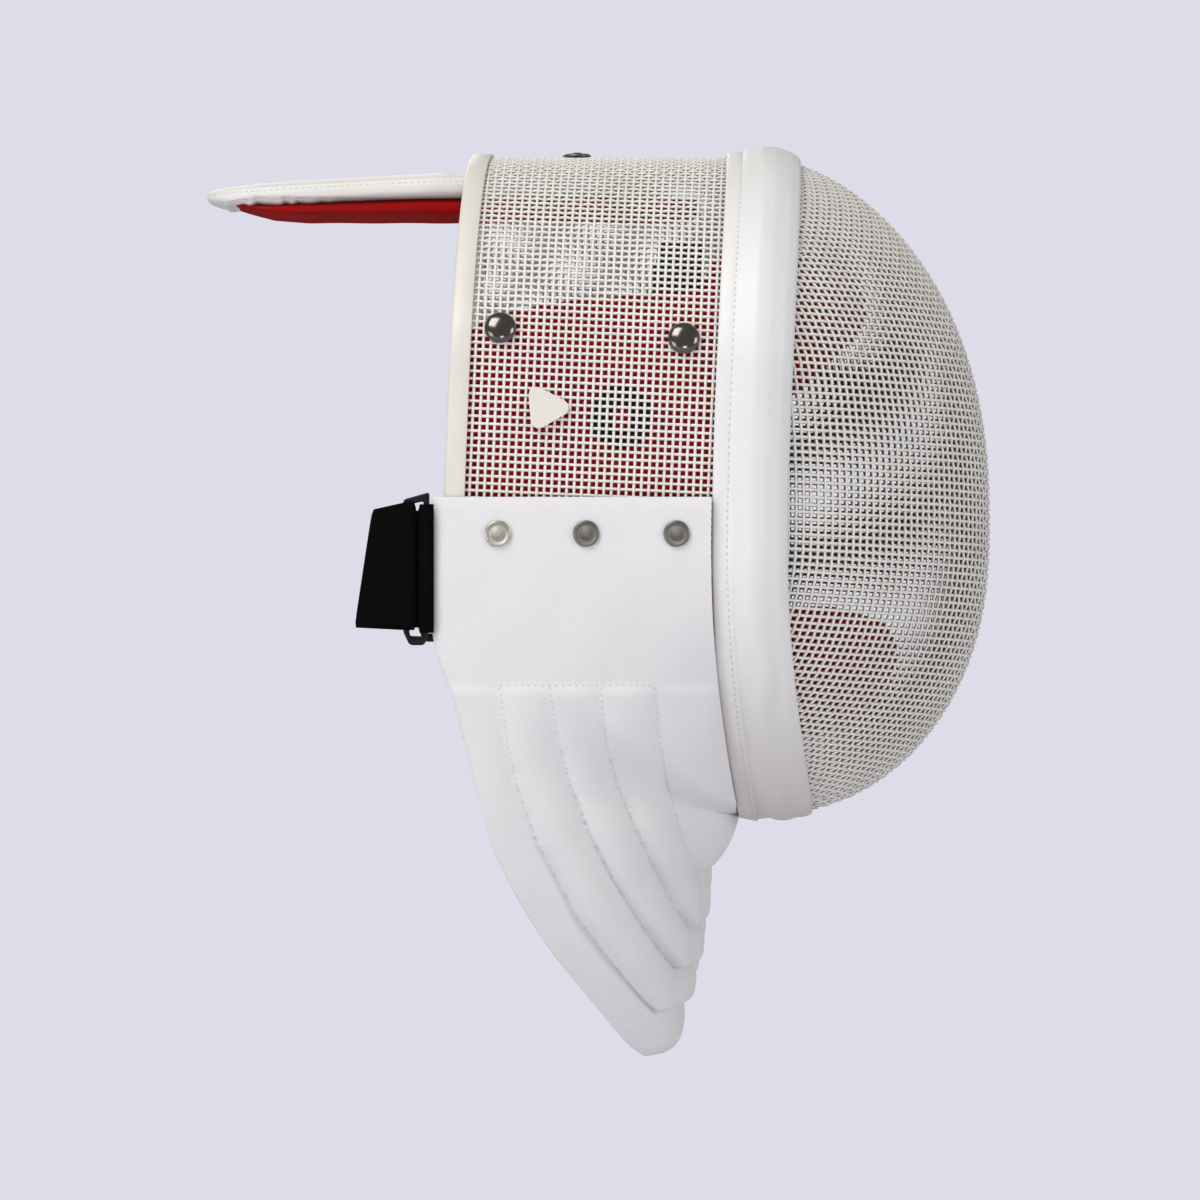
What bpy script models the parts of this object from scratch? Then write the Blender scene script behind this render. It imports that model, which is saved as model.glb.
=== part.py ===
"""Fencing mask: woven wire face and crown, padded lining, quilted bib, tongue and head strap.

Metres, +Z up, the face looks along +X and the wearer's right side is at -Y. The origin is
where the wearer's crown meets the pad of the tongue.
"""
import math

import bmesh
import bpy
import numpy as np
from mathutils import Matrix, Vector

# Outline of the wire shell seen from the front, at the ring where face and sides meet
HALF_WIDTH = 0.097
CROWN_TOP = 0.0281
CROWN_HEIGHT = 0.0905
JAW_DROP = 0.078
CHIN_HEIGHT = 0.1105
SHOULDER_Z = CROWN_TOP - CROWN_HEIGHT
JAW_Z = SHOULDER_Z - JAW_DROP
CHIN_Z = JAW_Z - CHIN_HEIGHT

# Place of that ring along X, and how far its top and its chin lean forward
RING_X = 0.0614
RING_LEAD_TOP = 0.008
RING_LEAD_CHIN = 0.013

# The face: how far its ridge stands ahead of the ring, and the height of its foremost point
FACE_REACH = 0.1046
NOSE_DROP = 0.1561
NOSE_Z = CROWN_TOP - NOSE_DROP
WIRE_WALL = 0.0020
GAP = 0.0004

# Rear edge of the sides and the binding on it
REAR_X = -0.0536
REAR_LEAN = 0.0114
SIDE_DEPTH = 0.180
TRIM_WIDTH = 0.0085
TRIM_SKIN = 0.0009

# Strip over the joint of the two meshes
BAND_WIDTH = 0.0313
BAND_RIDGE = 0.0040
BAND_EDGE = 0.0013

# Quilted bib
BIB_TOP_DEPTH = 0.1460
BIB_LENGTH = 0.2340
BIB_THICK = 0.0040
BIB_SEAT = 0.0015
QUILT_SWELL = 0.0030
QUILT_TOP_DEPTH = 0.2221

# Small hard parts
DISC_DIAMETER = 0.0108
DISC_THICK = 0.0012
DISC_DROP = 0.0150
SNAP_DIAMETER = 0.0132
SNAP_HEIGHT = 0.0035
PLATE_LENGTH = 0.0198
PLATE_THICK = 0.0012

# Tongue
TONGUE_REACH = 0.1664
TONGUE_WIDTH = 0.0680
TONGUE_COVER_TOP = 0.0206
TONGUE_PAD_THICK = 0.0100
TONGUE_COVER_THICK = 0.0082
TONGUE_FRONT = 0.0420
TONGUE_DROOP = 0.0020
SPRING_WIDTH = 0.0220
SPRING_THICK = 0.0012

# Lining
PAD_THICK = 0.0120
PAD_GAP = 0.0020
PAD_SEAM = 0.0063
CHIN_PAD_THICK = 0.0160
EAR_RING_OUTER = 0.0260
EAR_RING_INNER = 0.0090
EAR_RING_THICK = 0.0010
SOCKET_DIAMETER = 0.0080
TAB_CLOSER = 0.3 * PAD_GAP

# Head strap and its loops
STRAP_WIDTH = 0.0500
STRAP_THICK = 0.0022
STRAP_BOW = 0.0218
STRAP_LEAN = 0.19
STRAP_FLAP = 0.0170
LOOP_HEIGHT = 0.0626
LOOP_LENGTH = 0.0108
LOOP_BAR = 0.0025
LOOP_THICK = 0.0040
LOOP_STEP = 0.0030
LOOP_END = 2.3 * LOOP_BAR

TURN = 2.0 * math.pi


def clear_scene():
    """Removes the objects that the file opens with."""
    for item in list(bpy.data.objects):
        bpy.data.objects.remove(item, do_unlink=True)


def material(name, colour, roughness, metallic=0.0):
    """A plain Principled finish."""
    finish = bpy.data.materials.new(name)
    finish.use_nodes = True
    shader = finish.node_tree.nodes["Principled BSDF"]
    shader.inputs["Base Color"].default_value = (*colour, 1.0)
    shader.inputs["Roughness"].default_value = roughness
    shader.inputs["Metallic"].default_value = metallic
    return finish


def half_width(z):
    """Half width of the wire shell at a height: a pointed arch, a straight side, a round chin."""
    z = np.asarray(z, dtype=float)
    up = np.clip((z - SHOULDER_Z) / CROWN_HEIGHT, 0.0, 1.0)
    down = np.clip((JAW_Z - z) / CHIN_HEIGHT, 0.0, 1.0)
    return HALF_WIDTH * np.sqrt((1.0 - up ** 1.5) * (1.0 - down ** 1.7))


def ring_x(z):
    """Place of the ring along X: furthest back at the jaw, forward at the crown and the chin."""
    z = np.asarray(z, dtype=float)
    up = np.clip((z - JAW_Z) / (CROWN_TOP - JAW_Z), 0.0, 1.0)
    down = np.clip((JAW_Z - z) / CHIN_HEIGHT, 0.0, 1.0)
    return RING_X + RING_LEAD_TOP * up ** 1.8 + RING_LEAD_CHIN * down ** 2.0


def ridge_x(z):
    """Place of the face's middle ridge along X."""
    z = np.asarray(z, dtype=float)
    up = np.clip((z - NOSE_Z) / (CROWN_TOP - NOSE_Z), 0.0, 1.0)
    down = np.clip((NOSE_Z - z) / (NOSE_Z - CHIN_Z), 0.0, 1.0)
    bow = (1.0 - up ** 2.4) ** 0.58 * (1.0 - down ** 2.45) ** 0.5
    return ring_x(z) + (RING_X + FACE_REACH - ring_x(z)) * bow


def face_x(y, z):
    """Depth of the face over the point (y, z): level sections run from the ring to the ridge."""
    share = np.clip(np.abs(y) / np.maximum(half_width(z), 1e-6), 0.0, 1.0)
    ahead = (1.0 - share ** 1.47) ** 0.80
    return ring_x(z) + (ridge_x(z) - ring_x(z)) * ahead


def outline(count, low=CHIN_Z):
    """Evenly spaced (y, z) points of the shell's front outline, from the -Y side over the crown.

    With low at the chin the line closes under it; higher, it is the inverted U above low.
    """
    turn = np.linspace(0.0, 0.5 * math.pi, 200)
    crown = SHOULDER_Z + CROWN_HEIGHT * np.cos(turn)
    jaw = np.linspace(SHOULDER_Z, JAW_Z, 60)[1:]
    chin = JAW_Z - CHIN_HEIGHT * np.sin(turn[1:])
    z = np.concatenate([crown, jaw, chin])
    z = np.append(z[z > low], low)
    right = np.column_stack([-half_width(z), z])[::-1]
    line = np.vstack([right, (right * (-1.0, 1.0))[::-1][1:]])
    length = np.append(0.0, np.cumsum(np.linalg.norm(np.diff(line, axis=0), axis=1)))
    at = np.linspace(0.0, length[-1], count)
    return np.column_stack([np.interp(at, length, line[:, axis]) for axis in (0, 1)])


def normals(line):
    """Unit normals of a line in the plane that point to the inside of the shell."""
    along = np.gradient(line, axis=0)
    along /= np.maximum(np.linalg.norm(along, axis=1, keepdims=True), 1e-12)
    return np.column_stack([along[:, 1], -along[:, 0]])


def mesh_object(name, points, faces, finish, collection):
    """A smooth shaded mesh object."""
    mesh = bpy.data.meshes.new(name)
    mesh.from_pydata([tuple(point) for point in points], [], faces)
    mesh.materials.append(finish)
    mesh.shade_smooth()
    mesh.set_sharp_from_angle(angle=math.radians(40.0))
    item = bpy.data.objects.new(name, mesh)
    collection.objects.link(item)
    return item


def grid_faces(rows, columns, closed=False):
    """Four-sided faces of a grid of points stored row by row."""
    last = columns if closed else columns - 1
    faces = []
    for row in range(rows - 1):
        for column in range(last):
            after = (column + 1) % columns
            faces.append((row * columns + column, row * columns + after,
                          (row + 1) * columns + after, (row + 1) * columns + column))
    return faces


def cap(start, columns):
    """Faces across one end section: strips between its first and its second half."""
    last = start + columns - 1
    return [(start + step, start + step + 1, last - step - 1, last - step)
            for step in range(columns // 2 - 1)]


def loft(name, sections, finish, collection, ring=False):
    """A closed solid through like sections, an array of rows of points; ring joins the ends."""
    rows, columns = sections.shape[:2]
    faces = grid_faces(rows, columns, closed=True)
    if ring:
        start = (rows - 1) * columns
        for column in range(columns):
            after = (column + 1) % columns
            faces.append((start + column, start + after, after, column))
    else:
        faces += cap(0, columns)
        faces += cap((rows - 1) * columns, columns)
    item = mesh_object(name, sections.reshape(-1, 3), faces, finish, collection)
    outward(item)
    return item


def outward(item):
    """Turns every face of a closed mesh to point out."""
    work = bmesh.new()
    work.from_mesh(item.data)
    bmesh.ops.recalc_face_normals(work, faces=work.faces)
    work.to_mesh(item.data)
    work.free()


def wall(item, thickness):
    """Gives an open surface its thickness, on the side away from its normals."""
    solidify = item.modifiers.new("wall", "SOLIDIFY")
    solidify.thickness = thickness
    solidify.offset = -1.0
    solidify.use_even_offset = False


def patch(name, points, finish, collection, thickness):
    """A wall on a grid of points whose normals point out of the mask, thickened inward."""
    rows, columns = points.shape[:2]
    item = mesh_object(name, points.reshape(-1, 3), grid_faces(rows, columns), finish, collection)
    wall(item, thickness)
    return item


def face_mesh(finish, collection):
    """The face: a round grid from the ring to the nose, laid on face_x."""
    spokes, steps = 45, 12
    edge = outline(spokes)[:-1]
    centre = np.array([0.0, NOSE_Z])
    share = np.sin(0.5 * math.pi * np.arange(1, steps + 1) / steps)
    flat = centre + share[:, None, None] * (edge - centre)
    depth = face_x(flat[..., 0], flat[..., 1]) + GAP
    points = np.dstack([depth, flat]).reshape(-1, 3)
    nose = len(points)
    points = np.vstack([points, [[RING_X + FACE_REACH + GAP, 0.0, NOSE_Z]]])
    faces = grid_faces(steps, spokes - 1, closed=True)
    faces += [(nose, (spoke + 1) % (spokes - 1), spoke) for spoke in range(spokes - 1)]
    item = mesh_object("face_mesh", points, faces, finish, collection)
    outward(item)
    if item.data.polygons[-1].normal.x < 0.0:
        item.data.flip_normals()
    wall(item, WIRE_WALL)
    return item


def rear_x(z):
    """Rear edge of the sides: it leans back from the crown downwards."""
    share = np.clip((CROWN_TOP - np.asarray(z)) / SIDE_DEPTH, 0.0, 1.0)
    return REAR_X - REAR_LEAN * share ** 0.5


def side_bottom():
    """Height at which the side mesh ends, behind the bib."""
    return CROWN_TOP - SIDE_DEPTH


def side_mesh(finish, collection):
    """The crown and sides: an inverted U from the rear edge to the ring."""
    line = outline(33, side_bottom())
    columns = 5
    share = np.linspace(0.0, 1.0, columns)[:, None]
    start = rear_x(line[:, 1]) + GAP + TRIM_SKIN
    end = ring_x(line[:, 1]) - GAP
    depth = start + (end - start) * share
    flat = np.broadcast_to(line, (columns, *line.shape))
    points = np.dstack([depth, flat])[::-1]
    return patch("side_mesh", points, finish, collection, WIRE_WALL)


def carried(line, stations):
    """Sections of a profile carried along an outline.

    A station is (x from the edge, height over the shell's outer face); the result has a row
    for each point of the line.
    """
    inside = normals(line)
    rows = []
    for x, height in stations:
        flat = line - inside * height
        rows.append(np.column_stack([x, flat]))
    return np.stack(rows, axis=1)


def rear_trim(finish, collection):
    """The binding: a channel over the rear edge of the side mesh."""
    line = outline(33, side_bottom())
    edge = rear_x(line[:, 1])
    out = GAP + TRIM_SKIN
    under = WIRE_WALL + GAP
    profile = [(TRIM_WIDTH, GAP), (TRIM_WIDTH, out), (0.0015, out), (0.0, out - 0.0010),
               (0.0, 0.0010 - under - TRIM_SKIN), (0.0015, -under - TRIM_SKIN),
               (TRIM_WIDTH, -under - TRIM_SKIN), (TRIM_WIDTH, -under), (TRIM_SKIN, -under),
               (TRIM_SKIN, GAP)]
    stations = [(edge + x, height) for x, height in profile]
    return loft("rear_trim", carried(line, stations), finish, collection)


def slide_on_face(line, reach):
    """Points of the face's outer side that lie reach ahead of the ring, by halving."""
    centre = np.array([0.0, NOSE_Z])
    low = np.full(len(line), 0.3)
    high = np.ones(len(line))
    target = ring_x(line[:, 1]) + reach
    for _ in range(30):
        middle = 0.5 * (low + high)
        at = centre + middle[:, None] * (line - centre)
        far = face_x(at[:, 0], at[:, 1]) > target
        low = np.where(far, middle, low)
        high = np.where(far, high, middle)
    return centre + (0.5 * (low + high))[:, None] * (line - centre), target


def rim_band(finish, collection):
    """The strip over the joint: a raised closed loop round the face."""
    line = outline(65)[:-1]
    inside = normals(np.vstack([line[-1], line, line[0]]))[1:-1]
    half = 0.5 * BAND_WIDTH
    profile = [(-1.0, BAND_EDGE), (-0.45, 0.65 * BAND_RIDGE), (0.1, 0.97 * BAND_RIDGE),
               (0.5, 0.85 * BAND_RIDGE), (1.0, BAND_EDGE)]
    outer, inner = [], []
    for share, height in profile:
        reach = share * half
        if reach <= 0.0:
            flat, depth = line, ring_x(line[:, 1]) + reach
        else:
            flat, depth = slide_on_face(line, reach)
        outer.append(np.column_stack([depth, flat - inside * (height + 2.0 * GAP)]))
        inner.append(np.column_stack([depth, flat - inside * 2.0 * GAP]))
    sections = np.stack(outer + inner[::-1], axis=1)
    return loft("rim_band", sections, finish, collection, ring=True)


# Outline of the bib from its top to its tip. drop is the share of BIB_LENGTH below the bib's
# top edge; rear and front are places along X as shares of BIB_LENGTH; half is the half width
# at the rear edge as a share of HALF_WIDTH; nose says how round the front is.
BIB_ROWS = (
    # drop, rear, front, half, nose
    (0.000, -0.294, 0.196, 1.000, 1.00),
    (0.060, -0.294, 0.196, 1.000, 1.00),
    (0.120, -0.294, 0.196, 1.000, 1.00),
    (0.180, -0.294, 0.196, 1.000, 1.00),
    (0.237, -0.293, 0.196, 1.000, 1.00),
    (0.290, -0.283, 0.197, 0.995, 1.00),
    (0.345, -0.258, 0.203, 0.985, 1.00),
    (0.400, -0.245, 0.210, 0.965, 1.00),
    (0.460, -0.230, 0.220, 0.935, 0.95),
    (0.520, -0.215, 0.232, 0.900, 0.85),
    (0.575, -0.200, 0.226, 0.860, 0.72),
    (0.625, -0.180, 0.217, 0.820, 0.62),
    (0.670, -0.160, 0.190, 0.780, 0.56),
    (0.715, -0.136, 0.183, 0.730, 0.55),
    (0.760, -0.108, 0.176, 0.670, 0.55),
    (0.805, -0.076, 0.169, 0.600, 0.55),
    (0.850, -0.040, 0.161, 0.520, 0.55),
    (0.890, -0.008, 0.156, 0.440, 0.55),
    (0.930, 0.022, 0.151, 0.350, 0.55),
    (0.962, 0.046, 0.146, 0.270, 0.55),
    (0.985, 0.064, 0.132, 0.190, 0.55),
    (1.000, 0.080, 0.110, 0.100, 0.55),
)

# Quilting lines of the bib: where each starts along X on the level top line and the height
# at which it meets its twin at the front, both as shares of BIB_LENGTH.
QUILT_LINES = (
    # start, meets
    (-0.176, 0.938),
    (-0.089, 0.853),
    (0.000, 0.770),
    (0.096, 0.689),
)


def bib_top():
    """Height of the bib's top edge."""
    return CROWN_TOP - BIB_TOP_DEPTH


def bib_half(drop):
    """Rear place, front place, side half width and roundness of the bib at a drop."""
    table = np.array(BIB_ROWS)
    return [np.interp(drop, table[:, 0], table[:, column]) for column in (1, 2, 3, 4)]


def quilt_swell(drop, share):
    """How far the padding swells between the quilting lines, from 0 to 1.

    The lines are numbered from the rear; between two of them the swell is half a sine wave.
    """
    start_drop = (QUILT_TOP_DEPTH - BIB_TOP_DEPTH) / BIB_LENGTH
    lines = []
    for start, meets in QUILT_LINES:
        along = np.clip((drop - start_drop) / (meets - start_drop), 0.0, 1.0)
        rear, front = bib_half(drop)[:2]
        first = (start - rear) / (front - rear)
        lines.append(first + (1.0 - first) * along ** 1.5)
    swell = np.zeros_like(share)
    edges = [np.full_like(share, -0.02)] + lines + [np.full_like(share, 1.35)]
    for near, far in zip(edges[:-1], edges[1:]):
        inside = (share >= near) & (share < far) & (far - near > 0.01)
        wave = np.sin(math.pi * np.clip((share - near) / np.maximum(far - near, 0.01), 0.0, 1.0))
        swell = np.where(inside, wave ** 0.7, swell)
    rise = np.clip((drop - start_drop) / 0.03, 0.0, 1.0)
    fade = np.clip((1.02 - drop) / 0.06, 0.0, 1.0)
    return swell * rise * fade


def bib_point(drop, share):
    """Outer face of the bib on the +Y side, share running from the rear edge to the front."""
    rear, front, half, nose = bib_half(drop)
    z = bib_top() - drop * BIB_LENGTH
    side = half * HALF_WIDTH + BIB_SEAT + BIB_THICK
    clear = 0.5 * BAND_WIDTH + GAP
    at_band = z > CHIN_Z
    end_x = np.where(at_band, ring_x(z) - clear, front * BIB_LENGTH)
    end_y = np.where(at_band, half_width(z) + BIB_THICK + BIB_SEAT, 0.0)
    end_y = np.minimum(end_y, side)
    start_x = rear * BIB_LENGTH
    x = start_x + (end_x - start_x) * np.sin(0.5 * math.pi * share) ** (2.0 - nose)
    along = np.clip((x - start_x) / (end_x - start_x), 0.0, 1.0)
    y = end_y + (side - end_y) * (1.0 - along ** 2.2) ** nose
    return x, y, z, along


def bib(finish, collection):
    """The bib: half of a quilted wall, mirrored, open above where it meets the band."""
    drops = np.array([row[0] for row in BIB_ROWS])
    shares = np.linspace(0.0, 1.0, 13)
    drop, share = np.meshgrid(drops, shares, indexing="ij")
    x, y, z, along = bib_point(drop, share)
    points = np.dstack([x, y, z])
    down = np.gradient(points, axis=0)
    across = np.gradient(points, axis=1)
    out = np.cross(across, down)
    out /= np.maximum(np.linalg.norm(out, axis=2, keepdims=True), 1e-9)
    out *= np.sign(out[..., 1:2] + 1e-3 * out[..., 0:1] + 1e-9)
    by_band = np.clip((along - 0.80) / 0.15, 0.0, 1.0) * (z > CHIN_Z - 0.5 * BAND_WIDTH)
    swell = QUILT_SWELL * quilt_swell(drop, along) * (1.0 - by_band)
    points = points + out * swell[..., None]
    on_middle = (points[..., 1] < 0.0005) | ((share > 0.999) & (z < CHIN_Z))
    points[..., 1] = np.where(on_middle, 0.0, points[..., 1])
    rows, columns = drop.shape
    faces = grid_faces(rows, columns)
    item = mesh_object("bib", points.reshape(-1, 3), faces, finish, collection)
    mirror = item.modifiers.new("other side", "MIRROR")
    mirror.use_axis = (False, True, False)
    mirror.merge_threshold = 0.0001
    wall(item, BIB_THICK)
    return item


def facing(normal):
    """Turn that points an object's +Z along normal, with its +X level."""
    z = Vector(normal).normalized()
    x = Vector((-z.y, z.x, 0.0)) if abs(z.z) < 0.99 else Vector((1.0, 0.0, 0.0))
    x.normalize()
    y = z.cross(x)
    return Matrix((x, y, z)).transposed().to_4x4()


def turned(name, profile, finish, collection, steps=14):
    """A turned solid about +Z from a profile of (radius, height) that starts and ends at 0."""
    points = [(radius, 0.0, height) for radius, height in profile]
    edges = [(index, index + 1) for index in range(len(points) - 1)]
    mesh = bpy.data.meshes.new(name)
    mesh.from_pydata(points, edges, [])
    mesh.materials.append(finish)
    item = bpy.data.objects.new(name, mesh)
    collection.objects.link(item)
    screw = item.modifiers.new("turn", "SCREW")
    screw.steps = steps
    screw.render_steps = steps
    screw.use_merge_vertices = True
    screw.merge_threshold = 0.00001
    screw.use_smooth_shade = True
    return item


def place(item, position, normal):
    """Puts an object at a position with its +Z along normal."""
    item.matrix_world = Matrix.Translation(position) @ facing(normal)
    return item


def side_normal(z, side):
    """Outward normal of the side mesh at a height."""
    step = 0.002
    slope = float(half_width(z + step) - half_width(z - step)) / (2.0 * step)
    return Vector((0.0, side, -slope)).normalized()


def on_side(x, z, side, height):
    """A point height over the side mesh."""
    return Vector((x, side * float(half_width(z)), z)) + side_normal(z, side) * height


def disc_profile(diameter, thick):
    """Flat disc with a small rounded edge, top to bottom on the outer side."""
    radius = 0.5 * diameter
    edge = 0.25 * thick
    return [(0.0, thick), (radius - edge, thick), (radius, thick - edge), (radius, 0.0),
            (0.0, 0.0)]


def dome_profile(diameter, height):
    """Domed cap with a short rim and a flat back, top to bottom on the outer side."""
    radius = 0.5 * diameter
    rim = 0.2 * height
    turns = np.linspace(0.0, 0.5 * math.pi, 6)
    cap = [(radius * math.sin(turn), rim + (height - rim) * math.cos(turn)) for turn in turns]
    return cap + [(radius, 0.0), (0.0, 0.0)]


# Snaps, discs and plates: places along X as shares of the side's length from the ring back,
# heights as shares of SIDE_DEPTH below the crown. The discs stand DISC_DROP under the bib's top.
SNAPS = (("front", 0.236, 0.451), ("rear", 0.838, 0.427))
DISCS = (("1", 0.820), ("2", 0.533), ("3", 0.240))
PLATE_PLACE = (0.662, 0.607)
EAR_RING_PLACE = (0.430, 0.629)


def side_x(along, z):
    """X of a share of the side's length from the ring back, at a height."""
    return float(ring_x(z) - along * (ring_x(z) - rear_x(z)))


def side_place(along, down):
    """X and Z of a share of the side's length and depth."""
    z = CROWN_TOP - down * SIDE_DEPTH
    return side_x(along, z), z


def hardware(finishes, collection):
    """Snaps, discs and plates on both sides, and the rivet on the crown."""
    for side, label in ((-1.0, "right"), (1.0, "left")):
        for name, along, down in SNAPS:
            x, z = side_place(along, down)
            item = turned(f"snap_{label}_{name}", dome_profile(SNAP_DIAMETER, SNAP_HEIGHT),
                          finishes["chrome"], collection)
            place(item, on_side(x, z, side, GAP), side_normal(z, side))
            socket = PAD_GAP - 3.2 * GAP
            item = turned(f"snap_socket_{label}_{name}", disc_profile(SOCKET_DIAMETER, socket),
                          finishes["nickel"], collection)
            depth = WIRE_WALL + 1.6 * GAP + socket
            place(item, on_side(x, z, side, -depth), side_normal(z, side))
        for name, along in DISCS:
            z = bib_top() - DISC_DROP
            x = side_x(along, z)
            item = turned(f"bib_disc_{label}_{name}", disc_profile(DISC_DIAMETER, DISC_THICK),
                          finishes["nickel"], collection)
            seat = HALF_WIDTH + BIB_SEAT + BIB_THICK + 0.75 * GAP
            place(item, Vector((x, side * seat, z)), (0.0, side, 0.0))
        plate(label, side, finishes["ivory"], collection)
    item = turned("crown_rivet", disc_profile(1.12 * DISC_DIAMETER, 1.4 * DISC_THICK),
                  finishes["nickel"], collection)
    place(item, Vector((rivet_x(), 0.0, CROWN_TOP + GAP)), (0.0, 0.0, 1.0))


def rivet_x():
    """Place of the crown rivet along X."""
    return REAR_X + 0.40 * (RING_X - REAR_X) - 0.0022


def plate(label, side, finish, collection):
    """A rounded triangle that points forward, from a flat outline with rounded corners."""
    x, z = side_place(*PLATE_PLACE)
    half = 0.5 * PLATE_LENGTH
    corners = [(-0.9, 1.0), (-0.75, -1.05), (1.0, 0.0)]
    radius = 0.16 * PLATE_LENGTH
    rim = []
    for index, (across, up) in enumerate(corners):
        before = Vector(corners[index - 1]) - Vector((across, up))
        after = Vector(corners[(index + 1) % 3]) - Vector((across, up))
        centre = Vector((across, up)) * half + (before.normalized() + after.normalized()) * radius
        outgoing = (Vector((across, up)) * half - centre).normalized()
        middle = math.atan2(outgoing.y, outgoing.x)
        sweep = 0.5 * (math.pi - before.angle(after))
        for share in (-1.0, -0.33, 0.33, 1.0):
            angle = middle + share * sweep
            rim.append((centre.x + radius * math.cos(angle), centre.y + radius * math.sin(angle)))
    base = float(half_width(z)) + GAP
    sections = np.array([[(x + px, side * height, z + pz) for px, pz in rim]
                         for height in (base, base + PLATE_THICK)])
    return loft(f"plate_{label}", sections, finish, collection)


# Tongue: stations along X from its front inside the crown to its tip. along is the share of
# its whole length; the others are shares of the thickness and of the half width.
TONGUE_COVER_ROWS = (
    # along, top, bottom, half
    (0.165, 0.86, 0.10, 0.90),
    (0.175, 1.00, 0.00, 0.98),
    (0.490, 1.00, 0.00, 1.00),
    (0.620, 0.86, -0.20, 1.00),
    (0.800, 0.52, -0.42, 0.99),
    (0.900, 0.34, -0.42, 0.90),
    (0.960, 0.12, -0.36, 0.72),
    (0.990, -0.10, -0.30, 0.46),
    (1.000, -0.16, -0.24, 0.30),
)
TONGUE_PAD_ROWS = (
    (0.000, 0.72, 0.30, 0.55),
    (0.015, 0.88, 0.10, 0.76),
    (0.050, 1.00, 0.00, 0.96),
    (0.500, 1.00, 0.00, 1.00),
    (0.800, 0.68, 0.00, 0.98),
    (0.860, 0.64, 0.08, 0.88),
    (0.905, 0.60, 0.24, 0.70),
    (0.930, 0.56, 0.40, 0.50),
)


def tongue_piece(name, rows, base, thick, half, finish, collection):
    """A flat padded piece: rounded sections whose edges hang a little, along the tongue."""
    turns = np.linspace(0.0, TURN, 16, endpoint=False)
    across = np.sign(np.cos(turns)) * np.abs(np.cos(turns)) ** 0.6
    up = np.sign(np.sin(turns)) * np.abs(np.sin(turns)) ** 0.6
    sections = []
    for along, top, bottom, width in rows:
        x = TONGUE_FRONT - along * (TONGUE_FRONT + TONGUE_REACH)
        middle = 0.5 * (top + bottom)
        y = half * width * across
        z = base + thick * (middle + 0.5 * (top - bottom) * up) - TONGUE_DROOP * (y / half) ** 2
        sections.append(np.column_stack([np.full_like(y, x), y, z]))
    return loft(name, np.array(sections), finish, collection)


def tongue(finishes, collection):
    """The cover above, the pad under it and the spring strip that carries them."""
    half = 0.5 * TONGUE_WIDTH
    base = TONGUE_COVER_TOP - TONGUE_COVER_THICK
    tongue_piece("tongue_cover", TONGUE_COVER_ROWS, base, TONGUE_COVER_THICK, half,
                 finishes["cloth"], collection)
    pad_base = base - TONGUE_PAD_THICK - GAP
    tongue_piece("tongue_pad", TONGUE_PAD_ROWS, pad_base, TONGUE_PAD_THICK, 0.96 * half,
                 finishes["lining"], collection)
    high = CROWN_TOP - WIRE_WALL - GAP - 0.0012
    low = TONGUE_COVER_TOP + SPRING_THICK + GAP
    tail = -0.8 * TONGUE_FRONT
    path = [(rivet_x() + 0.014, high), (rivet_x() - 0.010, high), (tail, low),
            (tail - 0.016, low)]
    side = 0.5 * SPRING_WIDTH
    sections = np.array([[(x, -side, top), (x, side, top), (x, side, top - SPRING_THICK),
                          (x, -side, top - SPRING_THICK)] for x, top in path])
    loft("tongue_spring", sections, finishes["steel"], collection)


# Side pads: share of the way from the ring to the rear edge, top and bottom as shares of
# SIDE_DEPTH below the crown.
SIDE_PAD_ROWS = (
    # along, top, bottom
    (0.00, 0.225, 1.140),
    (0.09, 0.250, 1.125),
    (0.13, 0.325, 1.120),
    (0.30, 0.345, 1.060),
    (0.48, 0.355, 1.000),
    (0.64, 0.367, 0.980),
    (0.81, 0.396, 0.940),
    (0.89, 0.430, 0.880),
    (0.925, 0.500, 0.820),
)


def padded(name, outer, inner, finish, collection):
    """A pad between two like grids, its long edges drawn in a little as sewn edges are."""
    rows = len(outer)
    level = np.linspace(-1.0, 1.0, rows)[:, None, None]
    draw = 0.30 * np.abs(level) ** 6
    middle = 0.5 * (outer + inner)
    outer = outer + (middle - outer) * draw
    inner = inner + (middle - inner) * draw
    sections = np.concatenate([outer, inner[::-1]], axis=0).transpose(1, 0, 2)
    return loft(name, sections, finish, collection)


def lined_point(x, z, side, inset):
    """A point inset from the outer side of the crown and sides."""
    return np.dstack([x, side * (half_width(z) - inset), z])


def pads(finishes, collection):
    """Side pads, forehead pad and chin pad, on the inner side of the wire."""
    inset = WIRE_WALL + PAD_GAP
    table = np.array(SIDE_PAD_ROWS)
    level = np.linspace(0.0, 1.0, 9)[:, None]
    down = table[:, 1] + (table[:, 2] - table[:, 1]) * level
    z = CROWN_TOP - down * SIDE_DEPTH
    x = ring_x(z) - PAD_SEAM - GAP - table[:, 0] * (ring_x(z) - rear_x(z))
    for side, label in ((-1.0, "right"), (1.0, "left")):
        outer = np.dstack([x, side * (half_width(z) - inset), z])
        inner = np.dstack([x, side * (half_width(z) - inset - PAD_THICK), z])
        padded(f"pad_{label}", outer, inner, finishes["lining"], collection)
        ear_ring(label, side, inset, finishes["rubber"], collection)
        lining_tab(label, side, inset, finishes["rubber"], collection)
    front_pad("pad_forehead", FOREHEAD_ROWS, PAD_THICK, finishes["lining"], collection)
    front_pad("pad_chin", CHIN_ROWS, CHIN_PAD_THICK, finishes["lining"], collection)


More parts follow.
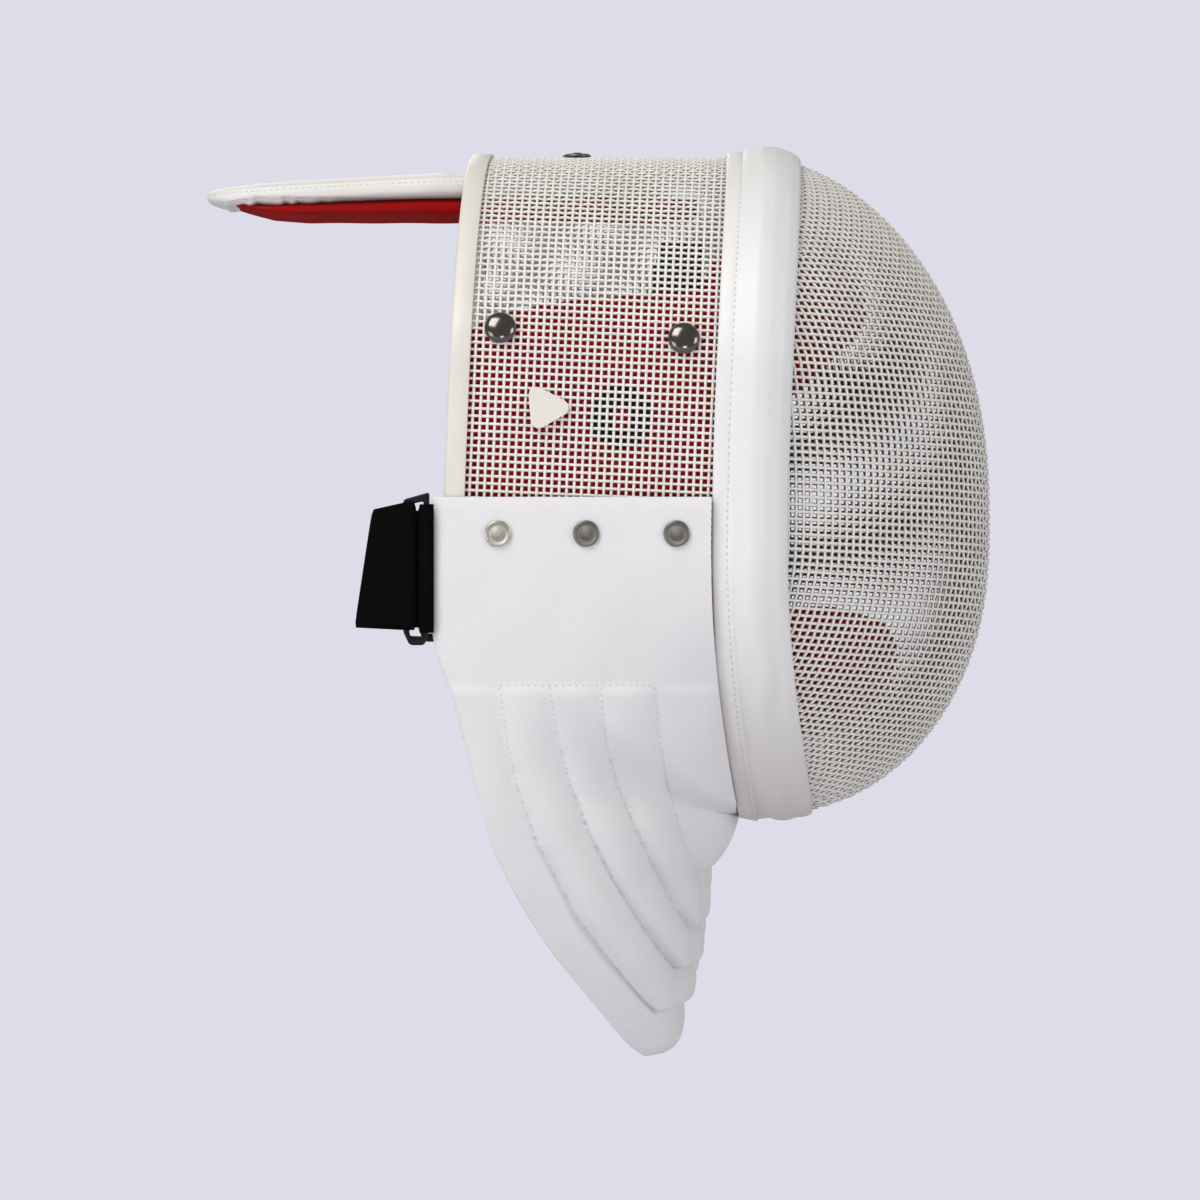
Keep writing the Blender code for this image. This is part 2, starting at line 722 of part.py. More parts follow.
# Forehead and chin pads, from the right ring round the front: turn is the share of the way
# round; top and bottom are shares of SIDE_DEPTH below the crown; reach is the share of the way
# from the ring to the face's wire at which the pad lies.
FOREHEAD_ROWS = (
    # turn, top, bottom, reach
    (0.00, 0.315, 0.660, 0.66),
    (0.12, 0.290, 0.620, 0.66),
    (0.28, 0.250, 0.540, 0.66),
    (0.40, 0.228, 0.460, 0.66),
    (0.50, 0.222, 0.430, 0.66),
)
CHIN_ROWS = (
    (0.00, 1.080, 1.340, 0.76),
    (0.15, 1.060, 1.370, 0.76),
    (0.32, 1.060, 1.360, 0.76),
    (0.42, 1.080, 1.340, 0.76),
    (0.50, 1.090, 1.330, 0.76),
)


def front_pad(name, rows, thick, finish, collection):
    """A pad that runs from side to side behind the face, level sections half an oval."""
    table = np.array(rows)
    turn = np.linspace(0.0, 1.0, 21)
    mirrored = np.minimum(turn, 1.0 - turn)
    top, bottom, reach = [np.interp(mirrored, table[:, 0], table[:, column])
                          for column in (1, 2, 3)]
    level = np.linspace(1.0, 0.0, 6)[:, None]
    z = CROWN_TOP - (top + (bottom - top) * level) * SIDE_DEPTH
    angle = math.pi * turn
    half = half_width(z) - WIRE_WALL - PAD_GAP
    y = -half * np.cos(angle) + 0.0 * z
    bulge = 1.0 - 0.12 * (2.0 * level - 1.0) ** 2 * np.sin(angle)
    ahead = face_x(y, z) - face_x(half, z)
    x = ring_x(z) - PAD_SEAM + (reach * ahead + PAD_SEAM * np.sin(angle)) * bulge
    outer = np.dstack([x, y, z])
    inner = np.dstack([x - thick * np.sin(angle), y * (1.0 - thick / half), z])
    return padded(name, outer, inner, finish, collection)


def ear_ring(label, side, inset, finish, collection):
    """A flat ring on the outer face of a side pad."""
    x, z = side_place(*EAR_RING_PLACE)
    outer, inner = 0.5 * EAR_RING_OUTER, 0.5 * EAR_RING_INNER
    back = float(half_width(z)) - inset + 0.5 * GAP
    front = back + EAR_RING_THICK
    turns = np.linspace(0.0, TURN, 20, endpoint=False)
    sections = np.array([[(x + radius * math.cos(turn), side * depth,
                           z + radius * math.sin(turn))
                          for radius, depth in ((outer, back), (outer, front), (inner, front),
                                                (inner, back))] for turn in turns])
    return loft(f"ear_ring_{label}", sections, finish, collection, ring=True)


def lining_tab(label, side, inset, finish, collection):
    """A short tab that stands up from the front of a side pad's top edge."""
    level = np.linspace(0.0, 1.0, 5)[:, None]
    along = np.linspace(0.18, 0.34, 3)
    top, bottom = 0.225, SIDE_PAD_ROWS[2][1] - 0.004
    down = bottom + (top - bottom) * level + 0.0 * along
    z = CROWN_TOP - down * SIDE_DEPTH
    x = ring_x(z) - along * (ring_x(z) - rear_x(z))
    points = lined_point(x, z, side, inset - TAB_CLOSER)
    if side < 0.0:
        points = points[:, ::-1]
    return patch(f"lining_tab_{label}", points, finish, collection, 0.5 * EAR_RING_THICK + 0.0008)


def strap_middle():
    """Height of the middle of the strap and its loops."""
    return bib_top() - 0.5 * LOOP_HEIGHT + 0.0020


def loop_rear():
    """Place along X of the rear of the loops."""
    return BIB_ROWS[0][1] * BIB_LENGTH - GAP - LOOP_LENGTH - 0.0004


def strap_loops(finishes, collection):
    """Rectangular loops at the bib's rear edge, each a frame cut from one outline."""
    y = HALF_WIDTH + BIB_SEAT + 0.5 * BIB_THICK
    middle = strap_middle()
    rear = loop_rear()
    frame = ((rear, rear + LOOP_LENGTH, 0.5 * LOOP_HEIGHT),
             (rear + LOOP_BAR, rear + LOOP_LENGTH - LOOP_BAR, 0.5 * LOOP_HEIGHT - LOOP_END))
    for side, label in ((-1.0, "right"), (1.0, "left")):
        sections = []
        (x0, x1, h0), (x2, x3, h1) = frame
        outer = [(x0, -h0), (x1, LOOP_STEP - h0), (x1, h0), (x0, h0 - LOOP_STEP)]
        inner = [(x2, -h1), (x3, -h1), (x3, h1), (x2, h1)]
        for (ox, oz), (ix, iz) in zip(outer, inner):
            row = [(ox, y - 0.5 * LOOP_THICK, oz), (ox, y + 0.5 * LOOP_THICK, oz),
                   (ix, y + 0.5 * LOOP_THICK, iz), (ix, y - 0.5 * LOOP_THICK, iz)]
            sections.append([(px, side * py, middle + pz) for px, py, pz in row])
        loft(f"strap_loop_{label}", np.array(sections), finishes["plastic"], collection, ring=True)
        anchor_tab(label, side, y, finishes["webbing"], collection)


def banded(name, centre, width, thick, middle, lean, finish, collection):
    """A flat band of even width along centre, its middle line in plan; lean tips its top forward."""
    along = np.gradient(centre, axis=0)
    along /= np.linalg.norm(along, axis=1, keepdims=True)
    out = np.column_stack([along[:, 1], -along[:, 0]]) * 0.5 * thick
    sections = []
    for (x, y), (nx, ny), tip in zip(centre, out, np.broadcast_to(lean, len(centre))):
        sections.append([(x + sx * nx + tip * up, y + sx * ny, middle + up)
                         for sx, up in ((-1, 0.5 * width), (1, 0.5 * width),
                                        (1, -0.5 * width), (-1, -0.5 * width))])
    return loft(name, np.array(sections), finish, collection)


def round_bar(bar, y, thick, facing_x):
    """Middle line in plan of webbing round one bar of a loop, a rounded square from +Y to -Y."""
    turns = np.linspace(0.5 * math.pi, -0.5 * math.pi, 13)
    reach_x = 0.5 * LOOP_BAR + 2.0 * GAP + 0.5 * thick
    reach_y = 0.5 * LOOP_THICK + 2.0 * GAP + 0.5 * thick
    x = bar + facing_x * reach_x * np.abs(np.cos(turns)) ** 0.4
    return np.column_stack([x, y + reach_y * np.sign(np.sin(turns)) * np.abs(np.sin(turns)) ** 0.4])


def anchor_tab(label, side, y, finish, collection):
    """Webbing that goes round the front bar of the loop, its two ends at the bib's edge."""
    bar = loop_rear() + LOOP_LENGTH - 0.5 * LOOP_BAR
    thick = 0.6 * STRAP_THICK
    end = BIB_ROWS[0][1] * BIB_LENGTH - GAP
    wrap = round_bar(bar, y, thick, -1.0)
    line = np.vstack([[(end, wrap[0, 1])], wrap, [(end, wrap[-1, 1])]])
    centre = np.array([(x, side * py) for x, py in line])
    return banded(f"anchor_tab_{label}", centre, 0.9 * STRAP_WIDTH, thick, strap_middle(), 0.0,
                  finish, collection)


def head_strap(finish, collection):
    """Wide strap from loop to loop behind the head, each end folded back round its loop."""
    y = HALF_WIDTH + BIB_SEAT + 0.5 * BIB_THICK
    bar = loop_rear() + 0.5 * LOOP_BAR
    wrap = round_bar(bar, y, STRAP_THICK, 1.0)
    flap = wrap[0] + STRAP_FLAP * np.array([(-1.0, -0.42), (-0.5, -0.10)])
    sweep = np.linspace(0.0, 0.5 * math.pi, 12)[1:]
    inner = wrap[-1]
    back = loop_rear() + 0.5 * LOOP_LENGTH - STRAP_BOW
    run = np.column_stack([inner[0] + (back - inner[0]) * np.sin(sweep) ** 0.9,
                           inner[1] * np.cos(sweep) ** 0.9])
    right = np.vstack([flap, wrap, run[:-1]])
    line = np.vstack([right, [(back, 0.0)], (right * (1.0, -1.0))[::-1]])
    lean = STRAP_LEAN * np.clip((inner[0] - line[:, 0]) / (inner[0] - back), 0.0, 1.0)
    return banded("head_strap", line, STRAP_WIDTH, STRAP_THICK, strap_middle(), lean, finish,
                  collection)


def main():
    """Builds the mask piece by piece."""
    clear_scene()
    collection = bpy.data.collections.new("fencing_mask")
    bpy.context.scene.collection.children.link(collection)
    finishes = {
        "wire": material("coated_wire", (0.86, 0.85, 0.80), 0.45),
        "ivory": material("ivory_binding", (0.84, 0.81, 0.73), 0.50),
        "band": material("white_leatherette", (0.82, 0.81, 0.79), 0.45),
        "cloth": material("white_twill", (0.80, 0.80, 0.84), 0.85),
        "lining": material("red_lining", (0.50, 0.01, 0.015), 0.80),
        "chrome": material("chrome", (0.75, 0.75, 0.75), 0.12, 1.0),
        "nickel": material("nickel", (0.62, 0.59, 0.50), 0.35, 1.0),
        "steel": material("spring_steel", (0.45, 0.45, 0.45), 0.40, 1.0),
        "rubber": material("black_rubber", (0.02, 0.02, 0.02), 0.70),
        "plastic": material("black_plastic", (0.02, 0.02, 0.02), 0.35),
        "webbing": material("black_webbing", (0.015, 0.015, 0.015), 0.85),
    }
    face_mesh(finishes["wire"], collection)
    side_mesh(finishes["wire"], collection)
    rear_trim(finishes["ivory"], collection)
    rim_band(finishes["band"], collection)
    bib(finishes["cloth"], collection)
    hardware(finishes, collection)
    tongue(finishes, collection)
    pads(finishes, collection)
    strap_loops(finishes, collection)
    head_strap(finishes["webbing"], collection)


main()
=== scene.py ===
"""Fencing mask: wire face and crown, white band and bib, padded tongue, red lining, black strap."""

import math

import bmesh
import bpy
import numpy as np
from mathutils import Matrix, Vector


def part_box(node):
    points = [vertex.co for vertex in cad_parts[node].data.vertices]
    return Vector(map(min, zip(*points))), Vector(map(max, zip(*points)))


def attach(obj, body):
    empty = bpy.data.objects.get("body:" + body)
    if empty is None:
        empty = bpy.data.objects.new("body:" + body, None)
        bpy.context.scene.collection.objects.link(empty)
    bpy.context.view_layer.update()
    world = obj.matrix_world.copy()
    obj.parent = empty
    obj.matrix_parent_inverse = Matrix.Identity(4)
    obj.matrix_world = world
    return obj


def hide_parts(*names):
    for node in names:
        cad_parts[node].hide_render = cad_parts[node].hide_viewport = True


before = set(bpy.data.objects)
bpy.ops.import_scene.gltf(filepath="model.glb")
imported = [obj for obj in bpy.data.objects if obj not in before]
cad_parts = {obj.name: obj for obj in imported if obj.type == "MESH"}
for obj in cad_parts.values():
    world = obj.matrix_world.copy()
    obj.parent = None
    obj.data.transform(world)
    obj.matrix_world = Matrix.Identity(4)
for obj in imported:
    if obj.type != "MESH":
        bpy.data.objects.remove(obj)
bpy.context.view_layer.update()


# Shared helpers: arithmetic on arrays, meshes from arrays, shader nodes and grained finishes. All
# lengths are in metres. "share" always means a part of 1.
def held(values):
    """Values held between 0 and 1."""
    return np.clip(values, 0.0, 1.0)


def unit(vectors):
    """Vectors along the last axis, brought to length 1."""
    return vectors / np.maximum(np.linalg.norm(vectors, axis=-1, keepdims=True), 1e-9)


def signed_power(values, power):
    """Values raised to a power, with their own sign."""
    return np.sign(values) * np.abs(values) ** power


def full_turn(count):
    """Even angles round a circle."""
    return np.linspace(0.0, 2.0 * math.pi, count, endpoint=False)


def read_table(table, at):
    """The other columns of a table at places along its first column."""
    return [np.interp(at, table[:, 0], column) for column in table.T[1:]]


def path_lengths(path):
    """Length along a path of points, from the first one to each of them."""
    return np.append(0.0, np.cumsum(np.linalg.norm(np.diff(path, axis=0), axis=1)))


def on_path(path, lengths, at):
    """Points of a path, or values given at its points, at lengths along it."""
    return np.column_stack([np.interp(at, lengths, axis) for axis in path.T])


def grid_faces(index):
    """Four-cornered faces between neighbours in a grid of point numbers."""
    return np.stack([index[:-1, :-1], index[:-1, 1:], index[1:, 1:], index[1:, :-1]], axis=-1)


def mesh_object(name, points, faces, finish, uv=None):
    """Smooth mesh in one finish, as an object of the scene; uv becomes its map "cloth"."""
    mesh = bpy.data.meshes.new(name)
    mesh.from_pydata(points.reshape(-1, 3).tolist(), [], faces)
    if uv is not None:
        layer = mesh.uv_layers.new(name="cloth")
        corner = np.empty(len(mesh.loops), dtype=np.int32)
        mesh.loops.foreach_get("vertex_index", corner)
        layer.uv.foreach_set("vector", uv.reshape(-1, 2)[corner].astype(np.float32).ravel())
    mesh.shade_smooth()
    mesh.materials.append(finish)
    item = bpy.data.objects.new(name, mesh)
    bpy.context.scene.collection.objects.link(item)
    return item


def surface(name, points, finish, wrap_rows=False, wrap_columns=False, uv=None):
    """Smooth mesh over an array of points, rows by columns by 3; a wrapped side joins its ends.

    With the rows running away from you and the columns to your right, the faces look up.
    """
    rows, columns = points.shape[:2]
    index = np.arange(rows * columns).reshape(rows, columns)
    if wrap_rows:
        index = np.vstack([index, index[:1]])
    if wrap_columns:
        index = np.hstack([index, index[:, :1]])
    return mesh_object(name, points, grid_faces(index).reshape(-1, 4).tolist(), finish, uv)


def face_outward(item, caps=()):
    """Closes item over rings of point numbers, then turns all its faces outward."""
    work = bmesh.new()
    work.from_mesh(item.data)
    work.verts.ensure_lookup_table()
    for ring in caps:
        work.faces.new([work.verts[number] for number in ring])
    bmesh.ops.recalc_face_normals(work, faces=work.faces)
    work.to_mesh(item.data)
    work.free()
    item.data.shade_smooth()
    return item


def capped(name, sections, finish, uv=None):
    """Closed solid through a stack of closed sections, its first and last section filled."""
    rows, columns = sections.shape[:2]
    starts = (0, (rows - 1) * columns)
    return face_outward(surface(name, sections, finish, wrap_columns=True, uv=uv),
                        [range(start, start + columns) for start in starts])


def stand_for(item, node):
    """item replaces the solid node, which is hidden, and hangs from the root body."""
    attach(item, "root")
    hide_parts(node)


def repaint(node, finish):
    """A solid that shows as it is takes a finish."""
    node.data.materials.clear()
    node.data.materials.append(finish)


class Graph:
    """A shader tree with short ways to add nodes. Inputs are numbers, colours or sockets."""

    def __init__(self, tree):
        self.tree = tree

    def feed(self, socket, value):
        """Links the socket to another one, or sets it to a number, a vector or a colour."""
        if isinstance(value, bpy.types.NodeSocket):
            self.tree.links.new(value, socket)
        else:
            socket.default_value = (*value, 1.0) if socket.type == "RGBA" else value

    def add(self, kind, output, inputs, **settings):
        """A node with its settings and inputs; gives one of its output sockets."""
        node = self.tree.nodes.new(f"ShaderNode{kind}")
        for name, value in settings.items():
            setattr(node, name, value)
        for name, value in inputs.items():
            self.feed(node.inputs[name], value)
        return node.outputs[output]

    def maths(self, kind, *values):
        """A Math node of a kind."""
        return self.add("Math", 0, dict(enumerate(values)), operation=kind)

    def times(self, first, second):
        """Product of two numbers."""
        return self.maths("MULTIPLY", first, second)

    def plus(self, first, second):
        """Sum of two numbers."""
        return self.maths("ADD", first, second)

    def stretched(self, vector, by):
        """A vector multiplied by another one."""
        return self.add("VectorMath", 0, {0: vector, 1: by}, operation="MULTIPLY")

    def noise(self, vector, scale, detail=2.0, rough=0.5):
        """A noise texture, near 0.5."""
        return self.add("TexNoise", "Fac", {"Vector": vector, "Scale": scale, "Detail": detail,
                                            "Roughness": rough})

    def span(self, value, low, high, to_low=0.0, to_high=1.0):
        """Value mapped from low..high to to_low..to_high and held between them."""
        return self.add("MapRange", "Result", {"Value": value, "From Min": low, "From Max": high,
                                               "To Min": to_low, "To Max": to_high})

    def mix(self, factor, first, second):
        """The colour that goes from first to second as factor goes from 0 to 1."""
        return self.add("Mix", "Result", {"Factor": factor, "A": first, "B": second},
                        data_type="RGBA")


def effect(name, *outputs):
    """A node group with Vector and Scale inputs: (group, graph, vector, scale, end sockets)."""
    group = bpy.data.node_groups.new(name, "ShaderNodeTree")
    for label, kind in (("Vector", "Vector"), ("Scale", "Float")):
        group.interface.new_socket(label, in_out="INPUT", socket_type=f"NodeSocket{kind}")
    for label in outputs:
        group.interface.new_socket(label, in_out="OUTPUT", socket_type="NodeSocketFloat")
    given = group.nodes.new("NodeGroupInput").outputs
    gives = group.nodes.new("NodeGroupOutput").inputs
    return group, Graph(group), given["Vector"], given["Scale"], gives


# Use and dust: wide soft patches where hands and air have dulled a surface, and small specks.
use_marks, graph, vector, scale, gives = effect("use_and_dust", "Patches", "Specks")
graph.feed(gives["Patches"], graph.span(graph.noise(vector, scale, 5.0, 0.6), 0.38, 0.68))
finer = graph.times(scale, 23.0)
graph.feed(gives["Specks"], graph.span(graph.noise(vector, finer, 3.0), 0.60, 0.72))

# Pebble grain of leatherette, cast plastic and rubber: rounded cells of uneven height.
pebble, graph, vector, scale, gives = effect("pebble_grain", "Height")
cells = graph.add("TexVoronoi", "Distance", {"Vector": vector, "Scale": scale}, feature="SMOOTH_F1")
uneven = graph.noise(vector, graph.times(scale, 2.3))
graph.feed(gives["Height"], graph.maths("SUBTRACT", uneven, cells))

# Nap of brushed lining cloth: short fibres, longer one way than the other, in uneven tufts.
nap, graph, vector, scale, gives = effect("brushed_nap", "Height")
combed = graph.stretched(vector, (0.45, 1.0, 1.0))
tufts = graph.noise(combed, graph.times(scale, 0.28))
hairs = graph.noise(combed, scale, 6.0, 0.7)
graph.feed(gives["Height"], graph.plus(graph.times(tufts, 0.5), hairs))

# Fine turning and brushing lines on metal, and the strands of thread: noise drawn out along X.
brushing, graph, vector, scale, gives = effect("brushing_lines", "Height")
graph.feed(gives["Height"], graph.noise(graph.stretched(vector, (0.08, 1.0, 1.0)), scale, 3.0))


def plain(name, colour, roughness, metallic=0.0):
    """A finish of one colour: (material, shader)."""
    finish = bpy.data.materials.new(name)
    finish.use_nodes = True
    shader = finish.node_tree.nodes["Principled BSDF"]
    shader.inputs["Base Color"].default_value = (*colour, 1.0)
    shader.inputs["Roughness"].default_value = roughness
    shader.inputs["Metallic"].default_value = metallic
    return finish, shader


def detailed(name, colour, worn, roughness, grain, scale, bump, metallic=0.0, patches=28.0,
             amount=0.35, specular=0.5, mapped=False):
    """A finish with its own grain and use marks: (material, graph, colour input, tone, grain).

    The colour goes towards worn by amount in the patches and specks, the roughness rises there by
    a fifth, and grain, one of the groups above at its scale per metre, raises the surface by bump.
    A mapped grain lies on the UV map "cloth". tone and grain are the sockets of what is shown.
    """
    finish, shader = plain(name, colour, roughness, metallic)
    graph = Graph(finish.node_tree)
    place = graph.add("TexCoord", "Object", {})
    marks = graph.add("Group", 0, {"Vector": place, "Scale": patches},
                      node_tree=use_marks).node.outputs
    used = graph.times(graph.maths("MAXIMUM", marks["Patches"], marks["Specks"]), amount)
    tone = graph.mix(used, colour, worn)
    weave_place = graph.add("UVMap", "UV", {}, uv_map="cloth") if mapped else place
    height = graph.add("Group", "Height", {"Vector": weave_place, "Scale": scale}, node_tree=grain)
    for socket, value in (
            ("Base Color", tone),
            ("Roughness", graph.span(marks["Patches"], 0.0, 1.0, roughness,
                                     min(1.2 * roughness, 1.0))),
            ("Normal", graph.add("Bump", "Normal", {"Height": height, "Strength": bump,
                                                    "Distance": 0.0003})),
            ("Specular IOR Level", specular)):
        graph.feed(shader.inputs[socket], value)
    return finish, graph, shader.inputs["Base Color"], tone, height


def coat(*values, **more):
    """The material alone of a detailed finish."""
    return detailed(*values, **more)[0]


def on_cloth(name, colour, hollow, weave, scale, bump, roughness, low, high, specular):
    """Cloth finish whose weave lies on its UV map: hollows of the weave are darker, as painted
    shade.
    """
    finish, graph, colour_input, tone, height = detailed(
        name, colour, tuple(0.93 * part for part in colour), roughness, weave, scale, bump,
        patches=22.0, amount=0.5, specular=specular, mapped=True)
    graph.feed(colour_input, graph.mix(graph.span(height, low, high), hollow, tone))
    return finish


# Stage: a pale floor well under the mask, which hangs clear of it, a soft light low on the left of
# the picture, weaker ones above, right and behind, and the level camera that looks along +Y.
FLOOR_Z, MASK_MIDDLE = -0.70, (0.0, 0.0, -0.14)
floor_turn = full_turn(64)
floor_rings = np.stack([np.column_stack([radius * np.cos(floor_turn), radius * np.sin(floor_turn),
                                         np.full(len(floor_turn), FLOOR_Z)])
                        for radius in (2.6, 0.02)])
floor_paint, _ = plain("pale_floor", (0.70, 0.70, 0.78), 0.9)
surface("floor", floor_rings, floor_paint, wrap_columns=True)

world = bpy.data.worlds.new("studio")
bpy.context.scene.world = world
world.use_nodes = True
studio = Graph(world.node_tree)
backdrop = world.node_tree.nodes["Background"]
studio.feed(backdrop.inputs["Color"], (0.723, 0.723, 0.815))
fill = studio.add("Background", 0, {"Color": (1.0, 0.99, 1.0), "Strength": 0.30})
seen = studio.add("LightPath", "Is Camera Ray", {})
studio.feed(world.node_tree.nodes["World Output"].inputs[0],
            studio.add("MixShader", 0, {0: seen, 1: fill, 2: backdrop.outputs[0]}))

for name, place, size, watts, colour in (
        ("left_light", (-1.7, -1.6, -0.45), 1.1, 13.0, (1.0, 0.985, 0.96)),
        ("top_light", (-1.0, -1.3, 1.7), 1.3, 30.5, (1.0, 0.99, 0.97)),
        ("right_light", (1.9, -1.3, 0.3), 0.9, 11.0, (1.0, 1.0, 1.0)),
        ("low_light", (0.2, -2.0, -0.50), 0.3, 3.0, (1.0, 1.0, 1.0)),
        ("back_light", (-0.6, 2.0, 0.9), 1.0, 8.0, (1.0, 1.0, 1.0))):
    light = bpy.data.lights.new(name, "AREA")
    light.size, light.energy, light.color = size, watts, colour
    item = bpy.data.objects.new(name, light)
    item.location = place
    toward = Vector(MASK_MIDDLE) - Vector(place)
    item.rotation_euler = toward.to_track_quat("-Z", "Y").to_euler()
    bpy.context.scene.collection.objects.link(item)

camera = bpy.data.cameras.new("photo_camera")
camera.sensor_width, camera.lens = 36.0, 176.3
viewpoint = bpy.data.objects.new("photo_camera", camera)
viewpoint.location = (0.0, -2.5, -0.160)
viewpoint.rotation_euler = (0.5 * math.pi, 0.0, 0.0)
bpy.context.scene.collection.objects.link(viewpoint)
bpy.context.scene.camera = viewpoint
bpy.context.scene.view_settings.view_transform = "Standard"


# Face and side mesh: plain weave of coated steel wire, pressed to shape. Each wire passes over
# and under the ones it crosses. The coat is ivory, and black on the inner side of the face. On the
# crown and sides the inner half of each wire is painted grey-beige as painted shade.
HALF_WIDTH, CROWN_TOP, CROWN_HEIGHT = 0.097, 0.0281, 0.0905
JAW_DROP, CHIN_HEIGHT = 0.078, 0.1105
SHOULDER_Z = CROWN_TOP - CROWN_HEIGHT
JAW_Z = SHOULDER_Z - JAW_DROP
CHIN_Z = JAW_Z - CHIN_HEIGHT
RING_X, FACE_REACH, NOSE_Z = 0.0614, 0.1046, -0.128
REAR_X, SIDE_DEPTH = -0.0536, 0.180
FACE_WIRE, SIDE_WIRE, WIRE_SIDES = 0.00157, 0.00132, 5
WIRE_LIFT, WEAVE_DEPTH = 0.00036, 0.00100


def half_width(z):
    """HALF_WIDTH sqrt((1 - u^1.5)(1 - d^1.7)); u runs up the crown and d down the chin."""
    up = held((z - SHOULDER_Z) / CROWN_HEIGHT)
    down = held((JAW_Z - z) / CHIN_HEIGHT)
    return HALF_WIDTH * np.sqrt((1.0 - up ** 1.5) * (1.0 - down ** 1.7))


def ring_x(z):
    """Place of the joint of the two meshes: RING_X + 0.008 u^1.8 + 0.013 d^2."""
    up = held((z - JAW_Z) / (CROWN_TOP - JAW_Z))
    down = held((JAW_Z - z) / CHIN_HEIGHT)
    return RING_X + 0.008 * up ** 1.8 + 0.013 * down ** 2.0


def ridge_x(z):
    """Middle ridge of the face: ring + reach (1 - u^2.4)^0.58 (1 - d^2.45)^0.5 about the nose."""
    up = held((z - NOSE_Z) / (CROWN_TOP - NOSE_Z))
    down = held((NOSE_Z - z) / (NOSE_Z - CHIN_Z))
    bow = (1.0 - up ** 2.4) ** 0.58 * (1.0 - down ** 2.45) ** 0.5
    return ring_x(z) + (RING_X + FACE_REACH - ring_x(z)) * bow


def face_x(y, z):
    """Outer side of the face over (y, z): ring + (ridge - ring)(1 - |y / half|^1.47)^0.8."""
    share = held(np.abs(y) / np.maximum(half_width(z), 1e-6))
    return ring_x(z) + (ridge_x(z) - ring_x(z)) * (1.0 - share ** 1.47) ** 0.80


def rear_x(z):
    """Rear edge of the sides, which leans back a little as it goes down."""
    return REAR_X - 0.0114 * np.sqrt(held((CROWN_TOP - z) / SIDE_DEPTH))


def side_x(z, share):
    """X on the side at a share of the way from the ring to the rear edge."""
    return ring_x(z) - share * (ring_x(z) - rear_x(z))


def half_outline(count=4000):
    """Length from the crown along the shell's front outline against its height: (length, z)."""
    turn = np.linspace(0.0, 0.5 * math.pi, count)
    z = np.concatenate([SHOULDER_Z + CROWN_HEIGHT * np.cos(turn),
                        np.linspace(SHOULDER_Z, JAW_Z, count // 4)[1:],
                        JAW_Z - CHIN_HEIGHT * np.sin(turn[1:])])
    step = np.hypot(np.diff(half_width(z)), np.diff(z))
    return np.append(0.0, np.cumsum(step)), z


length, height = half_outline()


def z_at(s):
    """Height of the outline at a length from the crown, to either side."""
    return np.interp(np.abs(s), length, height)


def length_to(z):
    """Length of the outline from the crown down to a height."""
    return float(np.interp(-z, -height, length))


def wires(name, centre, normal, valid, radius, finish):
    """Round wires along the rows of centre (wires by samples by 3), where valid.

    Ring point j of a sample: centre + radius (cos t_j normal + sin t_j side), with
    t_j = 2 pi (j + 1/2) / WIRE_SIDES. The ends are closed. The attribute "inner" is 1 on the half
    that faces away from normal.
    """
    along = unit(np.gradient(centre, axis=1))
    up = unit(normal - (normal * along).sum(axis=2, keepdims=True) * along)
    side = np.cross(along, up)
    corner = np.arange(WIRE_SIDES)
    turn = 2.0 * math.pi * (corner + 0.5) / WIRE_SIDES
    ring = (centre[:, :, None] + radius * (np.cos(turn)[:, None] * up[:, :, None]
                                           + np.sin(turn)[:, None] * side[:, :, None]))
    new = (np.cumsum(valid.ravel()).reshape(valid.shape) - 1) * WIRE_SIDES
    joined = valid[:, :-1] & valid[:, 1:]
    first = new[:, :-1][joined][:, None] + corner
    second = new[:, 1:][joined][:, None] + corner
    quads = np.stack([first, np.roll(first, -1, axis=1), np.roll(second, -1, axis=1), second],
                     axis=-1).reshape(-1, 4)
    before = np.pad(valid, ((0, 0), (1, 0)))[:, :-1]
    after = np.pad(valid, ((0, 0), (0, 1)))[:, 1:]
    heads = new[valid & ~before][:, None] + corner[::-1]
    tails = new[valid & ~after][:, None] + corner
    item = mesh_object(name, ring[valid], quads.tolist() + heads.tolist() + tails.tolist(), finish)
    inner = np.tile(held(0.5 - 1.2 * np.cos(turn)), int(valid.sum())).astype(np.float32)
    item.data.attributes.new("inner", "FLOAT", "POINT").data.foreach_set("value", inner)
    return item


def between(nodes):
    """Nodes along axis 1 with the middle of each span put between them."""
    both = np.empty((nodes.shape[0], 2 * nodes.shape[1] - 1, *nodes.shape[2:]))
    both[:, 0::2] = nodes
    both[:, 1::2] = 0.5 * (nodes[:, :-1] + nodes[:, 1:])
    return both


def woven(name, nodes, normal, valid, thick, finish):
    """Both sets of wires on a grid of crossings: weft along the rows, warp along the columns.

    At crossing (i, k) the weft is lifted by WIRE_LIFT (-1)^(i + k) and the warp by its opposite.
    The wires stand for the solid of that name.
    """
    rows, columns = nodes.shape[:2]
    sign = (-1.0) ** (np.arange(rows)[:, None] + np.arange(columns)[None, :])
    for label, way in (("weft", 1.0), ("warp", -1.0)):
        at, face, kept = nodes + (way * WIRE_LIFT * sign)[..., None] * normal, normal, valid
        if label == "warp":
            at, face, kept = (array.swapaxes(0, 1) for array in (at, face, kept))
        kept = between(kept.astype(float)) == 1.0
        item = wires(f"{name}_{label}", between(at), between(face), kept, 0.5 * thick, finish)
        stand_for(item, f"{name}_mesh")


def coated(name, outer, inner):
    """Finish of coated wire: outer on its outer side, and inner where the attribute says so."""
    finish, graph, colour_input, tone, _ = detailed(
        name, outer, (0.52, 0.49, 0.43), 0.42, pebble, 2600.0, 0.10, patches=60.0, amount=0.22,
        specular=0.35)
    share = graph.add("Attribute", "Fac", {}, attribute_name="inner")
    graph.feed(colour_input, graph.mix(share, tone, inner))
    return finish


